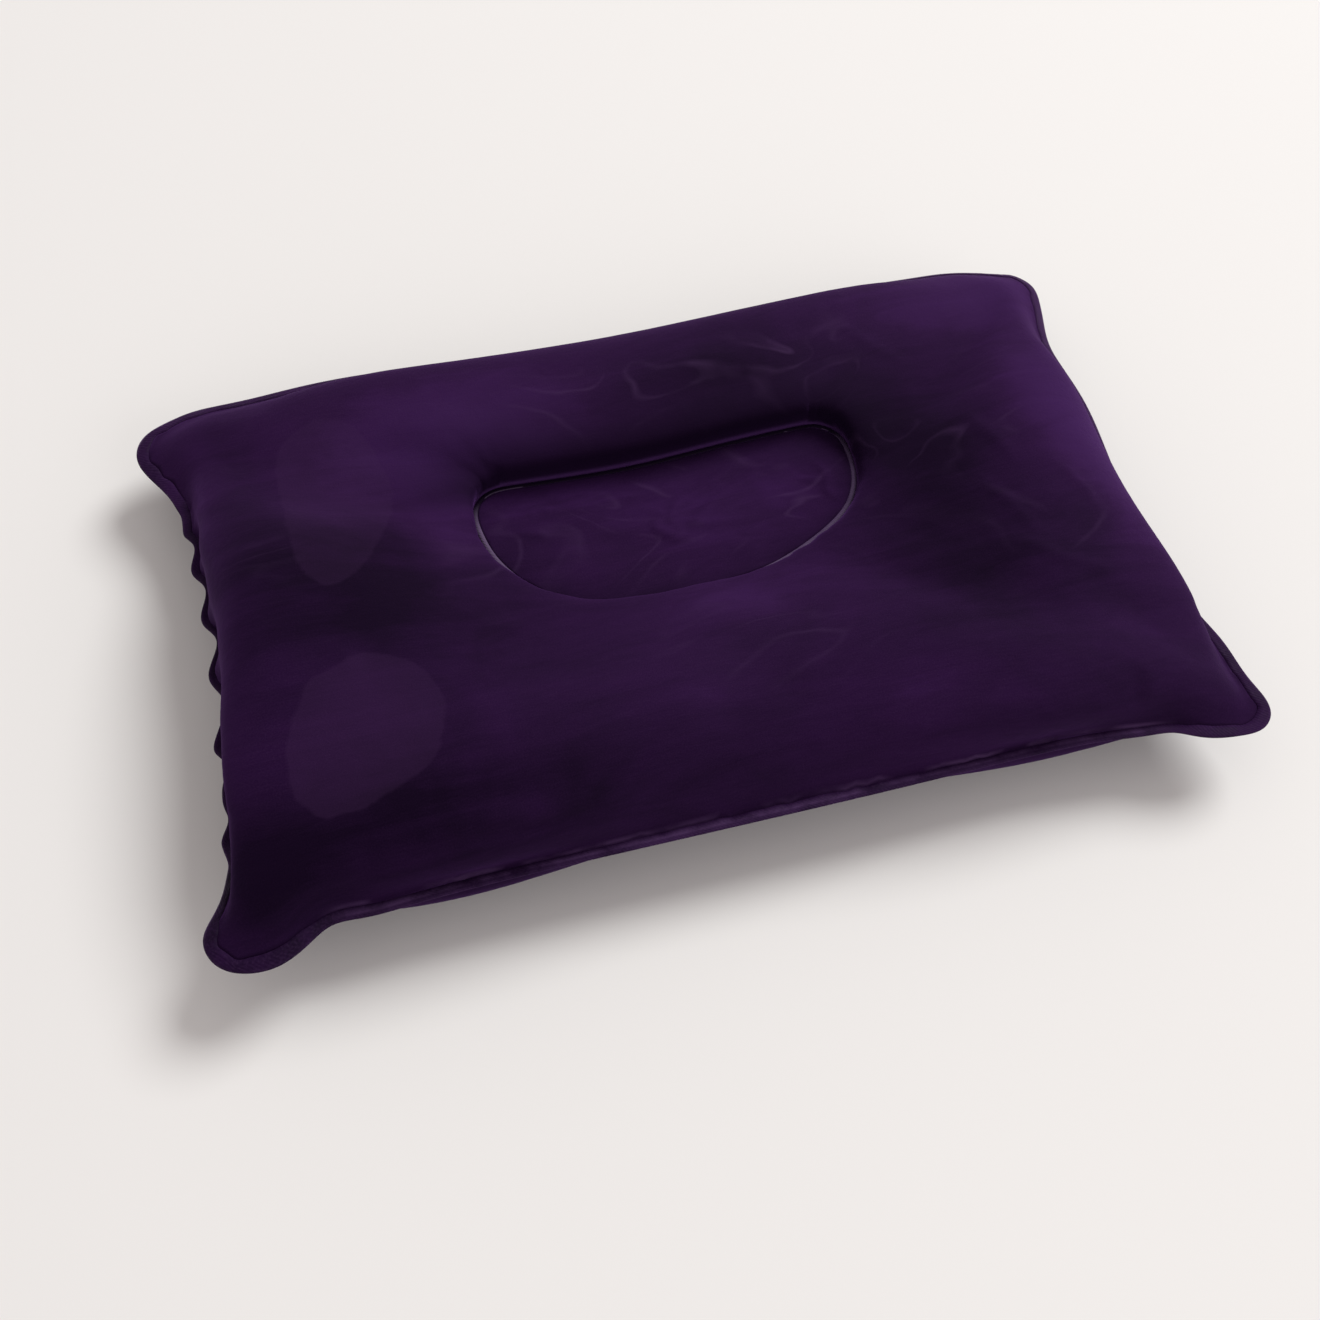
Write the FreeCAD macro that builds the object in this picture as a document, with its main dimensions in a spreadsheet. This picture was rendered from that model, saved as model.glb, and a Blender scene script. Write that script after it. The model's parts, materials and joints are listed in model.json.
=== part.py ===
"""Rectangular inflatable travel pillow, drawn inflated and resting on a flat surface.

Two flocked vinyl sheets are welded together round the rim and round a D-shaped ring near
the middle. The air chamber is the space between the sheets outside that ring. A push-in
valve is welded into the lower sheet near one short edge.

Frame: +X along the length, +Y across, +Z up. The origin is under the middle of the pillow,
on the surface that it rests on. All sizes are in millimetres.
"""
import FreeCAD, Part
import math
import os

import Sketcher

# Alias, value and meaning of each driving dimension.
DRIVING_DIMENSIONS = [
    ("rim_left_reach", 233.6, "middle to the puckered short edge, measured at the corners"),
    ("rim_right_reach", 230.4, "middle to the other short edge, measured at the corners"),
    ("rim_far_reach", 134.0, "middle to far outer edge, measured at the corners"),
    ("rim_near_reach", 146.1, "middle to near outer edge, measured at the corners"),
    ("left_edge_bow", 26.0, "how far the middle of the puckered short edge is pulled in"),
    ("right_edge_bow", 12.0, "how far the middle of the other short edge is pulled in"),
    ("near_edge_bow", 7.0, "how far the middle of the near long edge is pulled in"),
    ("far_edge_bulge", 11.0, "how far the middle of the far long edge stands out"),
    ("ear_radius", 15.0, "rounding of the four corner ears"),
    ("rim_width", 5.0, "width of the flat welded rim"),
    ("rim_thickness", 1.4, "both sheets and their crushed flock"),
    ("seam_height", 34.0, "height of the seam plane over the surface underneath"),
    ("crown", 36.0, "swell of each sheet away from the seam plane"),
    ("sheet_gap", 0.3, "half of the gap between the sheets next to a weld"),
    ("sheet_thickness", 1.0, "vinyl film and the flock on it"),
    ("length_power", 6.0, "how late the swell falls off along the length"),
    ("width_power", 4.0, "how late the swell falls off across the width"),
    ("grid_step", 8.0, "spacing of the points that carry a swollen sheet"),
    ("recess_half_length", 91.0, "half of the recess along X, to the middle weld's outside"),
    ("recess_centre_x", 4.5, "place of the recess along X"),
    ("recess_centre_y", 43.0, "line where the recess is longest"),
    ("recess_far_depth", 22.0, "from that line to the straight side"),
    ("recess_near_depth", 62.0, "from that line to the curved side"),
    ("recess_far_power", 4.5, "squareness of the straight side's corners"),
    ("recess_near_power", 2.3, "fullness of the curved side"),
    ("recess_slope", 44.0, "width of the slope from the middle weld to the full swell"),
    ("weld_width", 2.5, "width of the middle weld"),
    ("weld_thickness", 1.2, "both sheets, melted together"),
    ("web_thickness", 0.6, "one sheet inside the middle weld"),
    ("valve_x", 188.0, "valve axis at the lower sheet, along the length"),
    ("valve_y", 45.0, "valve axis at the lower sheet, across the width"),
    ("valve_lean", 31.0, "degrees between the valve axis and straight down"),
    ("valve_depth", 16.0, "from the valve's inner datum to the sheet's inner face"),
    ("hole_radius", 8.0, "hole in the lower sheet"),
    ("flange_radius", 13.0, "welded disc round the hole"),
    ("flange_thickness", 0.8, "welded disc"),
    ("bore_radius", 2.8, "air passage through the stem"),
    ("stem_radius", 4.5, "outside of the stem"),
    ("stem_inner_end", 4.0, "inner end of the stem above the datum"),
    ("stem_outer_end", 18.2, "outer end of the stem above the datum"),
    ("stem_seat_radius", 6.5, "collar that the check flap closes on"),
    ("stem_seat_height", 1.0, "collar that the check flap closes on"),
    ("stem_lip_radius", 6.2, "lip round the mouth"),
    ("stem_lip_height", 1.6, "lip round the mouth"),
    ("skirt_thickness", 0.7, "folding skirt between the stem and the sheet"),
    ("skirt_clearance", 0.05, "between the skirt's collar and the stem"),
    ("skirt_inner_level", 9.0, "where the skirt meets the stem, above the datum"),
    ("skirt_collar_height", 1.3, "collar of the skirt round the stem"),
    ("skirt_rim_level", 15.2, "lower edge of the skirt's outer rim"),
    ("flap_radius", 4.0, "check flap"),
    ("flap_thickness", 0.8, "check flap"),
    ("flap_clearance", 0.1, "between the flap and the stem's inner end"),
    ("flap_hinge_offset", 5.8, "from the valve axis to the flap's hinge line"),
    ("flap_tongue_width", 3.0, "tongue from the flap to its hinge line"),
    ("head_radius", 6.2, "stopper head"),
    ("head_height", 1.6, "stopper head"),
    ("head_clearance", 0.1, "between the stopper head and the lip"),
    ("plug_radius", 2.5, "stopper plug between its ribs"),
    ("plug_length", 8.0, "stopper plug"),
    ("plug_tip_length", 1.2, "tapered end of the plug"),
    ("plug_tip_radius", 1.7, "end face of the plug"),
    ("rib_radius", 2.75, "sealing ribs of the plug"),
    ("rib_height", 0.8, "sealing ribs of the plug"),
    ("rib_pitch", 2.4, "spacing of the sealing ribs"),
    ("tab_reach", 10.5, "pull tab, from the valve axis to its end"),
    ("tab_width", 5.0, "pull tab"),
    ("tab_thickness", 1.0, "pull tab"),
    ("tab_corner_radius", 1.5, "corners of the pull tab"),
    ("strap_width", 3.0, "strap between the lip and the stopper"),
    ("strap_thickness", 0.6, "strap between the lip and the stopper"),
    ("strap_reach", 12.0, "from the valve axis to the start of the strap's turn"),
    ("strap_lower_level", 17.2, "underside of the strap's lower run, above the datum"),
    ("strap_turn_radius", 0.5, "inside of the strap's turn"),
]

RECESS_OUTLINE_POINTS = 48
RIB_COUNT = 2
CUTTER_REACH = 120.0

document = FreeCAD.newDocument("travel_pillow")
sheet = document.addObject("Spreadsheet::Sheet", "Dims")


def fill_sheet():
    """Write every driving dimension into the sheet, with its alias and its meaning."""
    for row, (alias, value, meaning) in enumerate(DRIVING_DIMENSIONS, start=1):
        sheet.set(f"A{row}", alias)
        sheet.set(f"B{row}", str(value))
        sheet.set(f"C{row}", meaning)
        sheet.setAlias(f"B{row}", alias)
    document.recompute()


def size(alias):
    """Value of one driving dimension."""
    return float(sheet.get(alias))


# ---------------------------------------------------------------- swollen sheets


def recess_measure(x, y):
    """1 on the recess outline, less inside it, more outside it."""
    across = y - size("recess_centre_y")
    side = "far" if across > 0 else "near"
    power = size(f"recess_{side}_power")
    along_share = abs(x - size("recess_centre_x")) / size("recess_half_length")
    across_share = abs(across) / size(f"recess_{side}_depth")
    return (along_share ** power + across_share ** power) ** (1.0 / power)


def recess_rise(x, y):
    """0 inside the recess, rising smoothly to 1 across the slope round it."""
    measure = recess_measure(x, y)
    if measure <= 1.0:
        return 0.0
    reach = math.hypot(x - size("recess_centre_x"), y - size("recess_centre_y"))
    distance = reach * (1.0 - 1.0 / measure)
    share = min(1.0, distance / size("recess_slope"))
    return share * share * (3.0 - 2.0 * share)


def swell(x, y):
    """Distance of a sheet's inner face from the seam plane."""
    corner_x = size("rim_right_reach" if x > 0 else "rim_left_reach") - size("rim_width")
    corner_y = size("rim_far_reach" if y > 0 else "rim_near_reach") - size("rim_width")
    bow_x = size("right_edge_bow" if x > 0 else "left_edge_bow")
    bow_y = -size("far_edge_bulge") if y > 0 else size("near_edge_bow")
    length_here = corner_x - bow_x * (1.0 - (y / corner_y) ** 2)
    width_here = corner_y - bow_y * (1.0 - (x / corner_x) ** 2)
    along = 1.0 - abs(x / length_here) ** size("length_power")
    across = 1.0 - abs(y / width_here) ** size("width_power")
    if along < 0.0 and across < 0.0:
        return size("sheet_gap") - size("crown") * along * across
    return size("sheet_gap") + size("crown") * along * across * recess_rise(x, y)


def grid_line(low, high):
    """Evenly spaced values from one side of the pillow to the other."""
    count = math.ceil((high - low) / size("grid_step"))
    return [low + (high - low) * index / count for index in range(count + 1)]


def swollen_face(direction, offset):
    """One smooth face over the whole pillow: direction is 1 upwards or -1 downwards."""
    near_reach = size("rim_near_reach")
    far_reach = size("rim_far_reach") + size("far_edge_bulge")
    rows = []
    for x in grid_line(-size("rim_left_reach"), size("rim_right_reach")):
        row = []
        for y in grid_line(-near_reach, far_reach):
            height = size("seam_height") + direction * (swell(x, y) + offset)
            row.append(FreeCAD.Vector(x, y, height))
        rows.append(row)
    surface = Part.BSplineSurface()
    surface.interpolate(rows)
    return surface.toShape()


def space_inside(direction, offset):
    """Solid that lies between a swollen face and far beyond the seam plane."""
    return swollen_face(direction, offset).extrude(FreeCAD.Vector(0, 0, -direction * CUTTER_REACH))


# ---------------------------------------------------------------- outlines


def bowed_edge(start, end, bow):
    """Arc between two corners, the middle of which is moved by bow."""
    return Part.Arc(start, (start + end) * 0.5 + bow, end).toShape()


def rim_outline(inset):
    """Closed outline of the rim with rounded ears, moved inwards by inset."""
    left = -size("rim_left_reach")
    right = size("rim_right_reach")
    far = size("rim_far_reach")
    near = -size("rim_near_reach")
    corners = [
        FreeCAD.Vector(right, far, 0),
        FreeCAD.Vector(left, far, 0),
        FreeCAD.Vector(left, near, 0),
        FreeCAD.Vector(right, near, 0),
    ]
    bows = [
        FreeCAD.Vector(0, size("far_edge_bulge"), 0),
        FreeCAD.Vector(size("left_edge_bow"), 0, 0),
        FreeCAD.Vector(0, size("near_edge_bow"), 0),
        FreeCAD.Vector(-size("right_edge_bow"), 0, 0),
    ]
    edges = [
        bowed_edge(corners[index], corners[(index + 1) % 4], bows[index])
        for index in range(4)
    ]
    sharp = Part.Wire(edges)
    rounding = size("ear_radius")
    return sharp.makeOffset2D(-rounding).makeOffset2D(rounding - inset)


def recess_outline(inset):
    """Closed D-shaped outline of the recess, moved inwards by inset."""
    half_length = size("recess_half_length") - inset
    points = []
    for index in range(RECESS_OUTLINE_POINTS):
        angle = 2.0 * math.pi * index / RECESS_OUTLINE_POINTS
        side = "far" if math.sin(angle) > 0 else "near"
        depth = size(f"recess_{side}_depth") - inset
        exponent = 2.0 / size(f"recess_{side}_power")
        along = math.copysign(abs(math.cos(angle)) ** exponent, math.cos(angle))
        across = math.copysign(abs(math.sin(angle)) ** exponent, math.sin(angle))
        points.append(FreeCAD.Vector(
            size("recess_centre_x") + half_length * along,
            size("recess_centre_y") + depth * across,
            0,
        ))
    curve = Part.BSplineCurve()
    curve.interpolate(points, PeriodicFlag=True)
    return Part.Wire([curve.toShape()])


def prism(outline, low, high):
    """Solid over a flat outline between two heights."""
    face = Part.Face(outline)
    face.translate(FreeCAD.Vector(0, 0, low))
    return face.extrude(FreeCAD.Vector(0, 0, high - low))


def ring_prism(outside, inside, thickness):
    """Flat ring of the given thickness about the seam plane."""
    low = size("seam_height") - thickness / 2.0
    high = size("seam_height") + thickness / 2.0
    return prism(outside, low, high).cut(prism(inside, low, high))


# ---------------------------------------------------------------- places


def valve_axis():
    """Direction in which the valve leaves the pillow."""
    lean = math.radians(size("valve_lean"))
    return FreeCAD.Vector(math.sin(lean), 0, -math.cos(lean))


def valve_placement():
    """Placement that puts a valve piece's own +Z on the valve axis."""
    on_sheet = FreeCAD.Vector(
        size("valve_x"),
        size("valve_y"),
        size("seam_height") - swell(size("valve_x"), size("valve_y")),
    )
    base = on_sheet - valve_axis() * size("valve_depth")
    turn = FreeCAD.Rotation(FreeCAD.Vector(0, 1, 0), 180.0 - size("valve_lean"))
    return FreeCAD.Placement(base, turn)


def valve_cylinder(radius):
    """Long cylinder on the valve axis, for holes and round outlines."""
    cylinder = Part.makeCylinder(radius, size("valve_depth") * 2.0)
    cylinder.Placement = valve_placement()
    return cylinder


# ---------------------------------------------------------------- sheets and welds


def shape_node(name, shape):
    """Sub-part whose shape is set directly."""
    node = document.addObject("Part::Feature", name)
    node.Label = name
    node.Shape = shape
    node.Placement = FreeCAD.Placement()
    return node


def upper_panel():
    """Upper sheet outside the middle weld."""
    weld_line = rim_outline(size("rim_width"))
    outside = prism(weld_line, size("seam_height"), CUTTER_REACH)
    outside = outside.common(space_inside(1, size("sheet_thickness")))
    recess = prism(recess_outline(0.0), 0.0, CUTTER_REACH)
    return shape_node("upper_panel", outside.cut(space_inside(1, 0.0)).cut(recess))


def lower_panel():
    """Lower sheet outside the middle weld, flat where it rests, with the valve's hole."""
    weld_line = rim_outline(size("rim_width"))
    outside = prism(weld_line, 0.0, size("seam_height"))
    outside = outside.common(space_inside(-1, size("sheet_thickness")))
    inside = prism(rim_outline(0.0), size("sheet_thickness"), CUTTER_REACH)
    inside = inside.common(space_inside(-1, 0.0))
    recess = prism(recess_outline(0.0), 0.0, CUTTER_REACH)
    hole = valve_cylinder(size("hole_radius"))
    return shape_node("lower_panel", outside.cut(inside).cut(recess).cut(hole))


def rim_weld():
    """Flat rim where the two sheets are welded together, with its four ears."""
    ring = ring_prism(rim_outline(0.0), rim_outline(size("rim_width")), size("rim_thickness"))
    return shape_node("rim_weld", ring)


def centre_weld():
    """D-shaped weld that holds the two sheets together near the middle."""
    ring = ring_prism(recess_outline(0.0), recess_outline(size("weld_width")), size("weld_thickness"))
    return shape_node("centre_weld", ring)


def web(name, direction):
    """One sheet inside the middle weld, lying against the other on the seam plane."""
    outline = recess_outline(size("weld_width"))
    heights = [size("seam_height"), size("seam_height") + direction * size("web_thickness")]
    return shape_node(name, prism(outline, min(heights), max(heights)))


def valve_flange():
    """Disc welded to the inside of the lower sheet round the hole, following its curve."""
    inner_side = space_inside(-1, -size("flange_thickness"))
    disc = space_inside(-1, 0.0).cut(inner_side)
    disc = disc.common(valve_cylinder(size("flange_radius")))
    return shape_node("valve_flange", disc.cut(valve_cylinder(size("hole_radius"))))


# ---------------------------------------------------------------- sketched valve pieces


def new_body(name):
    """Empty body for one sub-part."""
    body = document.addObject("PartDesign::Body", name)
    body.Label = name
    return body


def origin_plane(body, role):
    """One of the body's own origin planes, found by its role."""
    for feature in body.Origin.OriginFeatures:
        if feature.Role == role:
            return feature
    raise RuntimeError(f"{body.Label} has no {role}")


def new_sketch(body, name, role):
    """Empty sketch on one of the body's origin planes."""
    sketch = body.newObject("Sketcher::SketchObject", name)
    sketch.AttachmentSupport = [(origin_plane(body, role), "")]
    sketch.MapMode = "FlatFace"
    return sketch


def bind(sketch, constraint, expression):
    """Add a constraint whose value follows an expression on the sheet."""
    index = sketch.addConstraint(constraint)
    sketch.setExpression(f"Constraints[{index}]", expression)


def worth(expression):
    """Number that an expression on the sheet stands for."""
    return float(sheet.evalExpression(expression))


def polygon_sketch(body, name, role, corners):
    """Closed outline of straight edges; each corner is a pair of expressions on the sheet.

    A corner whose first entry is None lies on the sketch's vertical axis.
    """
    sketch = new_sketch(body, name, role)
    points = [
        FreeCAD.Vector(0.0 if along is None else worth(along), worth(up), 0)
        for along, up in corners
    ]
    count = len(points)
    for index in range(count):
        sketch.addGeometry(Part.LineSegment(points[index], points[(index + 1) % count]), False)
    for index in range(count):
        following = (index + 1) % count
        sketch.addConstraint(Sketcher.Constraint("Coincident", index, 2, following, 1))
    for index, (along, up) in enumerate(corners):
        if along is None:
            sketch.addConstraint(Sketcher.Constraint("PointOnObject", index, 1, -2))
        else:
            bind(sketch, Sketcher.Constraint("DistanceX", index, 1, points[index].x), along)
        bind(sketch, Sketcher.Constraint("DistanceY", index, 1, points[index].y), up)
    return sketch


def revolve(body, sketch):
    """Full turn of a sketch about its own vertical axis."""
    revolution = body.newObject("PartDesign::Revolution", f"{body.Name}_turned")
    revolution.Profile = sketch
    revolution.ReferenceAxis = (sketch, ["V_Axis"])
    revolution.Angle = 360.0
    return revolution


def pad(body, sketch, name, length, midplane=False):
    """Pad a sketch by an expression on the sheet."""
    feature = body.newObject("PartDesign::Pad", name)
    feature.Profile = sketch
    feature.setExpression("Length", length)
    feature.Midplane = midplane
    return feature


def valve_stem():
    """Tube with a lip round its mouth and a collar at its inner end."""
    body = new_body("valve_stem")
    seat_top = "Dims.stem_inner_end + Dims.stem_seat_height"
    lip_base = "Dims.stem_outer_end - Dims.stem_lip_height"
    corners = [
        ("Dims.bore_radius", "Dims.stem_inner_end"),
        ("Dims.stem_seat_radius", "Dims.stem_inner_end"),
        ("Dims.stem_seat_radius", seat_top),
        ("Dims.stem_radius", seat_top),
        ("Dims.stem_radius", lip_base),
        ("Dims.stem_lip_radius", lip_base),
        ("Dims.stem_lip_radius", "Dims.stem_outer_end"),
        ("Dims.bore_radius", "Dims.stem_outer_end"),
    ]
    revolve(body, polygon_sketch(body, "stem_profile", "XZ_Plane", corners))
    return body


def valve_skirt():
    """Thin folding cone that joins the stem to the edge of the hole."""
    body = new_body("valve_skirt")
    collar_radius = "Dims.stem_radius + Dims.skirt_clearance"
    collar_outside = "Dims.stem_radius + Dims.skirt_clearance + Dims.skirt_thickness"
    collar_top = "Dims.skirt_inner_level + Dims.skirt_collar_height"
    rim_inside = "Dims.hole_radius - Dims.skirt_thickness"
    rim_top = "Dims.valve_depth + Dims.sheet_thickness"
    rim_shoulder = "Dims.skirt_rim_level + Dims.skirt_thickness"
    corners = [
        (collar_radius, "Dims.skirt_inner_level"),
        (collar_outside, "Dims.skirt_inner_level"),
        ("Dims.hole_radius", "Dims.skirt_rim_level"),
        ("Dims.hole_radius", rim_top),
        (rim_inside, rim_top),
        (rim_inside, rim_shoulder),
        (collar_radius, collar_top),
    ]
    revolve(body, polygon_sketch(body, "skirt_profile", "XZ_Plane", corners))
    return body


def check_flap():
    """Disc that closes the stem's inner end, with a tongue that bends along a hinge line."""
    body = new_body("check_flap")
    level = "Dims.stem_inner_end - Dims.flap_clearance - Dims.flap_thickness"
    disc = new_sketch(body, "flap_disc", "XY_Plane")
    disc.setExpression("AttachmentOffset.Base.z", level)
    rim = Part.Circle(FreeCAD.Vector(0, 0, 0), FreeCAD.Vector(0, 0, 1), size("flap_radius"))
    disc.addGeometry(rim, False)
    disc.addConstraint(Sketcher.Constraint("Coincident", 0, 3, -1, 1))
    bind(disc, Sketcher.Constraint("Radius", 0, size("flap_radius")), "Dims.flap_radius")
    pad(body, disc, "flap_disc_pad", "Dims.flap_thickness")
    corners = [
        ("Dims.flap_tongue_width / 2", "Dims.flap_radius / 2"),
        ("Dims.flap_tongue_width / 2", "Dims.flap_hinge_offset"),
        ("-Dims.flap_tongue_width / 2", "Dims.flap_hinge_offset"),
        ("-Dims.flap_tongue_width / 2", "Dims.flap_radius / 2"),
    ]
    tongue = polygon_sketch(body, "flap_tongue", "XY_Plane", corners)
    tongue.setExpression("AttachmentOffset.Base.z", level)
    pad(body, tongue, "flap_tongue_pad", "Dims.flap_thickness")
    return body


def stopper():
    """Plug with sealing ribs under a round head, and a tab to pull it by."""
    body = new_body("stopper")
    head_base = "Dims.stem_outer_end + Dims.head_clearance"
    tip = f"{head_base} - Dims.plug_length"
    shoulder = f"{tip} + Dims.plug_tip_length"
    corners = [(None, tip), ("Dims.plug_tip_radius", tip), ("Dims.plug_radius", shoulder)]
    for rib in range(RIB_COUNT):
        rib_base = f"{shoulder} + {rib + 0.5} * Dims.rib_pitch"
        corners += [
            ("Dims.plug_radius", rib_base),
            ("Dims.rib_radius", f"{rib_base} + Dims.rib_height / 4"),
            ("Dims.rib_radius", f"{rib_base} + Dims.rib_height * 3 / 4"),
            ("Dims.plug_radius", f"{rib_base} + Dims.rib_height"),
        ]
    corners += [
        ("Dims.plug_radius", head_base),
        ("Dims.head_radius", head_base),
        ("Dims.head_radius", f"{head_base} + Dims.head_height"),
        (None, f"{head_base} + Dims.head_height"),
    ]
    revolve(body, polygon_sketch(body, "stopper_profile", "XZ_Plane", corners))
    tab_corners = [
        ("Dims.tab_width / 2", "Dims.head_radius / 2"),
        ("Dims.tab_width / 2", "Dims.tab_reach"),
        ("-Dims.tab_width / 2", "Dims.tab_reach"),
        ("-Dims.tab_width / 2", "Dims.head_radius / 2"),
    ]
    tab = polygon_sketch(body, "tab_outline", "XY_Plane", tab_corners)
    tab_level = f"{head_base} + (Dims.head_height - Dims.tab_thickness) / 2"
    tab.setExpression("AttachmentOffset.Base.z", tab_level)
    pad(body, tab, "tab_pad", "Dims.tab_thickness")
    document.recompute()
    round_tab_corners(body)
    return body


def round_tab_corners(body):
    """Round the two free corners of the pull tab."""
    tip = body.Tip
    names = []
    for index, edge in enumerate(tip.Shape.Edges, start=1):
        middle = edge.CenterOfMass
        upright = abs(edge.BoundBox.ZLength - size("tab_thickness")) < 1e-6
        if upright and abs(middle.y - size("tab_reach")) < 1e-6:
            names.append(f"Edge{index}")
    fillet = body.newObject("PartDesign::Fillet", "tab_rounding")
    fillet.Base = (tip, names)
    fillet.setExpression("Radius", "Dims.tab_corner_radius")


def stopper_strap():
    """Flat strap from the lip, out over the sheet, round a turn and back to the stopper."""
    body = new_body("stopper_strap")
    sketch = new_sketch(body, "strap_side", "YZ_Plane")
    thickness = size("strap_thickness")
    inner = size("strap_turn_radius")
    outer = inner + thickness
    low = size("strap_lower_level")
    middle = low + outer
    high = middle + outer
    turn = -size("strap_reach")
    lip_end = -size("stem_lip_radius")
    head_end = -size("head_radius") - size("head_clearance")
    centre = FreeCAD.Vector(turn, middle, 0)
    upward = FreeCAD.Vector(0, 0, 1)
    quarter = math.pi / 2.0

    def line(start, end):
        return Part.LineSegment(FreeCAD.Vector(*start, 0), FreeCAD.Vector(*end, 0))

    pieces = [
        line((lip_end, low), (turn, low)),
        Part.ArcOfCircle(Part.Circle(centre, upward, outer), quarter, 3.0 * quarter),
        line((turn, high), (head_end, high)),
        line((head_end, high), (head_end, high - thickness)),
        line((head_end, high - thickness), (turn, high - thickness)),
        Part.ArcOfCircle(Part.Circle(centre, upward, inner), quarter, 3.0 * quarter),
        line((turn, low + thickness), (lip_end, low + thickness)),
        line((lip_end, low + thickness), (lip_end, low)),
    ]
    for piece in pieces:
        sketch.addGeometry(piece, False)
    joined = [(0, 2, 1, 2), (1, 1, 2, 1), (2, 2, 3, 1), (3, 2, 4, 1),
              (4, 2, 5, 1), (5, 2, 6, 1), (6, 2, 7, 1), (7, 2, 0, 1)]
    for first, first_end, second, second_end in joined:
        sketch.addConstraint(Sketcher.Constraint("Coincident", first, first_end, second, second_end))
    sketch.addConstraint(Sketcher.Constraint("Coincident", 5, 3, 1, 3))
    for straight in (0, 2, 4, 6):
        sketch.addConstraint(Sketcher.Constraint("Horizontal", straight))
    for upright in (3, 7):
        sketch.addConstraint(Sketcher.Constraint("Vertical", upright))
    turn_radius = "Dims.strap_turn_radius"
    bind(sketch, Sketcher.Constraint("Radius", 5, inner), turn_radius)
    bind(sketch, Sketcher.Constraint("Radius", 1, outer), f"{turn_radius} + Dims.strap_thickness")
    bind(sketch, Sketcher.Constraint("DistanceX", 1, 3, turn), "-Dims.strap_reach")
    bind(sketch, Sketcher.Constraint("DistanceY", 0, 1, low), "Dims.strap_lower_level")
    bind(sketch, Sketcher.Constraint("DistanceX", 0, 1, lip_end), "-Dims.stem_lip_radius")
    bind(sketch, Sketcher.Constraint("DistanceX", 3, 1, head_end),
         "-Dims.head_radius - Dims.head_clearance")
    pad(body, sketch, "strap_pad", "Dims.strap_width", midplane=True)
    return body


# ---------------------------------------------------------------- document


def check_document():
    """Stop if any object failed to compute."""
    for item in document.Objects:
        if "Invalid" in item.State or "Error" in item.State:
            raise RuntimeError(f"{item.Label} is {item.State}")


def write_parts(nodes):
    """Check each sub-part's shape and write it to its own file."""
    os.makedirs("parts", exist_ok=True)
    for node in nodes:
        shape = node.Shape
        if shape.isNull() or not shape.isValid() or shape.Volume <= 0.0:
            raise RuntimeError(f"{node.Label} has no valid solid")
        shape.exportStep(f"parts/{node.Label}.step")
        print(f"{node.Label}: {len(shape.Solids)} solid, {shape.Volume:.1f} mm3")


fill_sheet()
film_nodes = [
    upper_panel(),
    lower_panel(),
    rim_weld(),
    centre_weld(),
    web("upper_web", 1),
    web("lower_web", -1),
    valve_flange(),
]
valve_nodes = [valve_stem(), valve_skirt(), check_flap(), stopper(), stopper_strap()]
document.recompute()
for valve_node in valve_nodes:
    valve_node.Placement = valve_placement()
document.recompute()
check_document()
write_parts(film_nodes + valve_nodes)
print("valve datum", valve_placement().Base, "axis", valve_axis())
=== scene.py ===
"""Looks of the inflatable travel pillow: the sheets are cut, welded and blown up with a cloth
simulation, refined, wrinkled and given flocked vinyl, around the fixed CAD frame.

Lengths are in millimetres until a mesh is made. The studio and the shaders use metres.
"""

import json
import math

import bmesh
import bpy
import numpy as np
from mathutils import Matrix, Vector, geometry
from mathutils.bvhtree import BVHTree


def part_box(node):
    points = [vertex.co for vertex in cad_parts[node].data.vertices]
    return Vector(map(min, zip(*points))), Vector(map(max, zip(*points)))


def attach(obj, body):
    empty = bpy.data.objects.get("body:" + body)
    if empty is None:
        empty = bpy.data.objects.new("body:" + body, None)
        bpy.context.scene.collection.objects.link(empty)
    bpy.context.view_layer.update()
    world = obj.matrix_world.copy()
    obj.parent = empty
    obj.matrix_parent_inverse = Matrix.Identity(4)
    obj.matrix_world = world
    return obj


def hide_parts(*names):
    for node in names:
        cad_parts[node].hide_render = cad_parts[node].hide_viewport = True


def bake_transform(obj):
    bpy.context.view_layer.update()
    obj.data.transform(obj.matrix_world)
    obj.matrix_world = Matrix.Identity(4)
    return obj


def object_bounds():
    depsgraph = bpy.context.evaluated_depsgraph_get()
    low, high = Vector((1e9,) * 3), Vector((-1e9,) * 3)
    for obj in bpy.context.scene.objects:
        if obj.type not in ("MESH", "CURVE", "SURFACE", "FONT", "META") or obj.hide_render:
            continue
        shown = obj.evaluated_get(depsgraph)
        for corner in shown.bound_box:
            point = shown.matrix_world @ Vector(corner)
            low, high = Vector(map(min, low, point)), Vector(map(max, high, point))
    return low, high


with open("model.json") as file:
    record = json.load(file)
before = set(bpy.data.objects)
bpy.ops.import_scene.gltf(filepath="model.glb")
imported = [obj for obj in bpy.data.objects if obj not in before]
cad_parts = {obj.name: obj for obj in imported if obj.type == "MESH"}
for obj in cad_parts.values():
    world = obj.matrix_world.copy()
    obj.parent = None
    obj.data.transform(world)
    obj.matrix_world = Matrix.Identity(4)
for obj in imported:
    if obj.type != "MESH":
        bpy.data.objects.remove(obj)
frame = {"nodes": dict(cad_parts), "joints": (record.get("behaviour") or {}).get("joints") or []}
cad_low, cad_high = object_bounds()

MM = 0.001
stem_slide = next(joint for joint in frame["joints"] if joint["name"] == "stem_slide")


def added(name, data):
    """A new object in the scene."""
    made = bpy.data.objects.new(name, data)
    bpy.context.scene.collection.objects.link(made)
    return made


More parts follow.
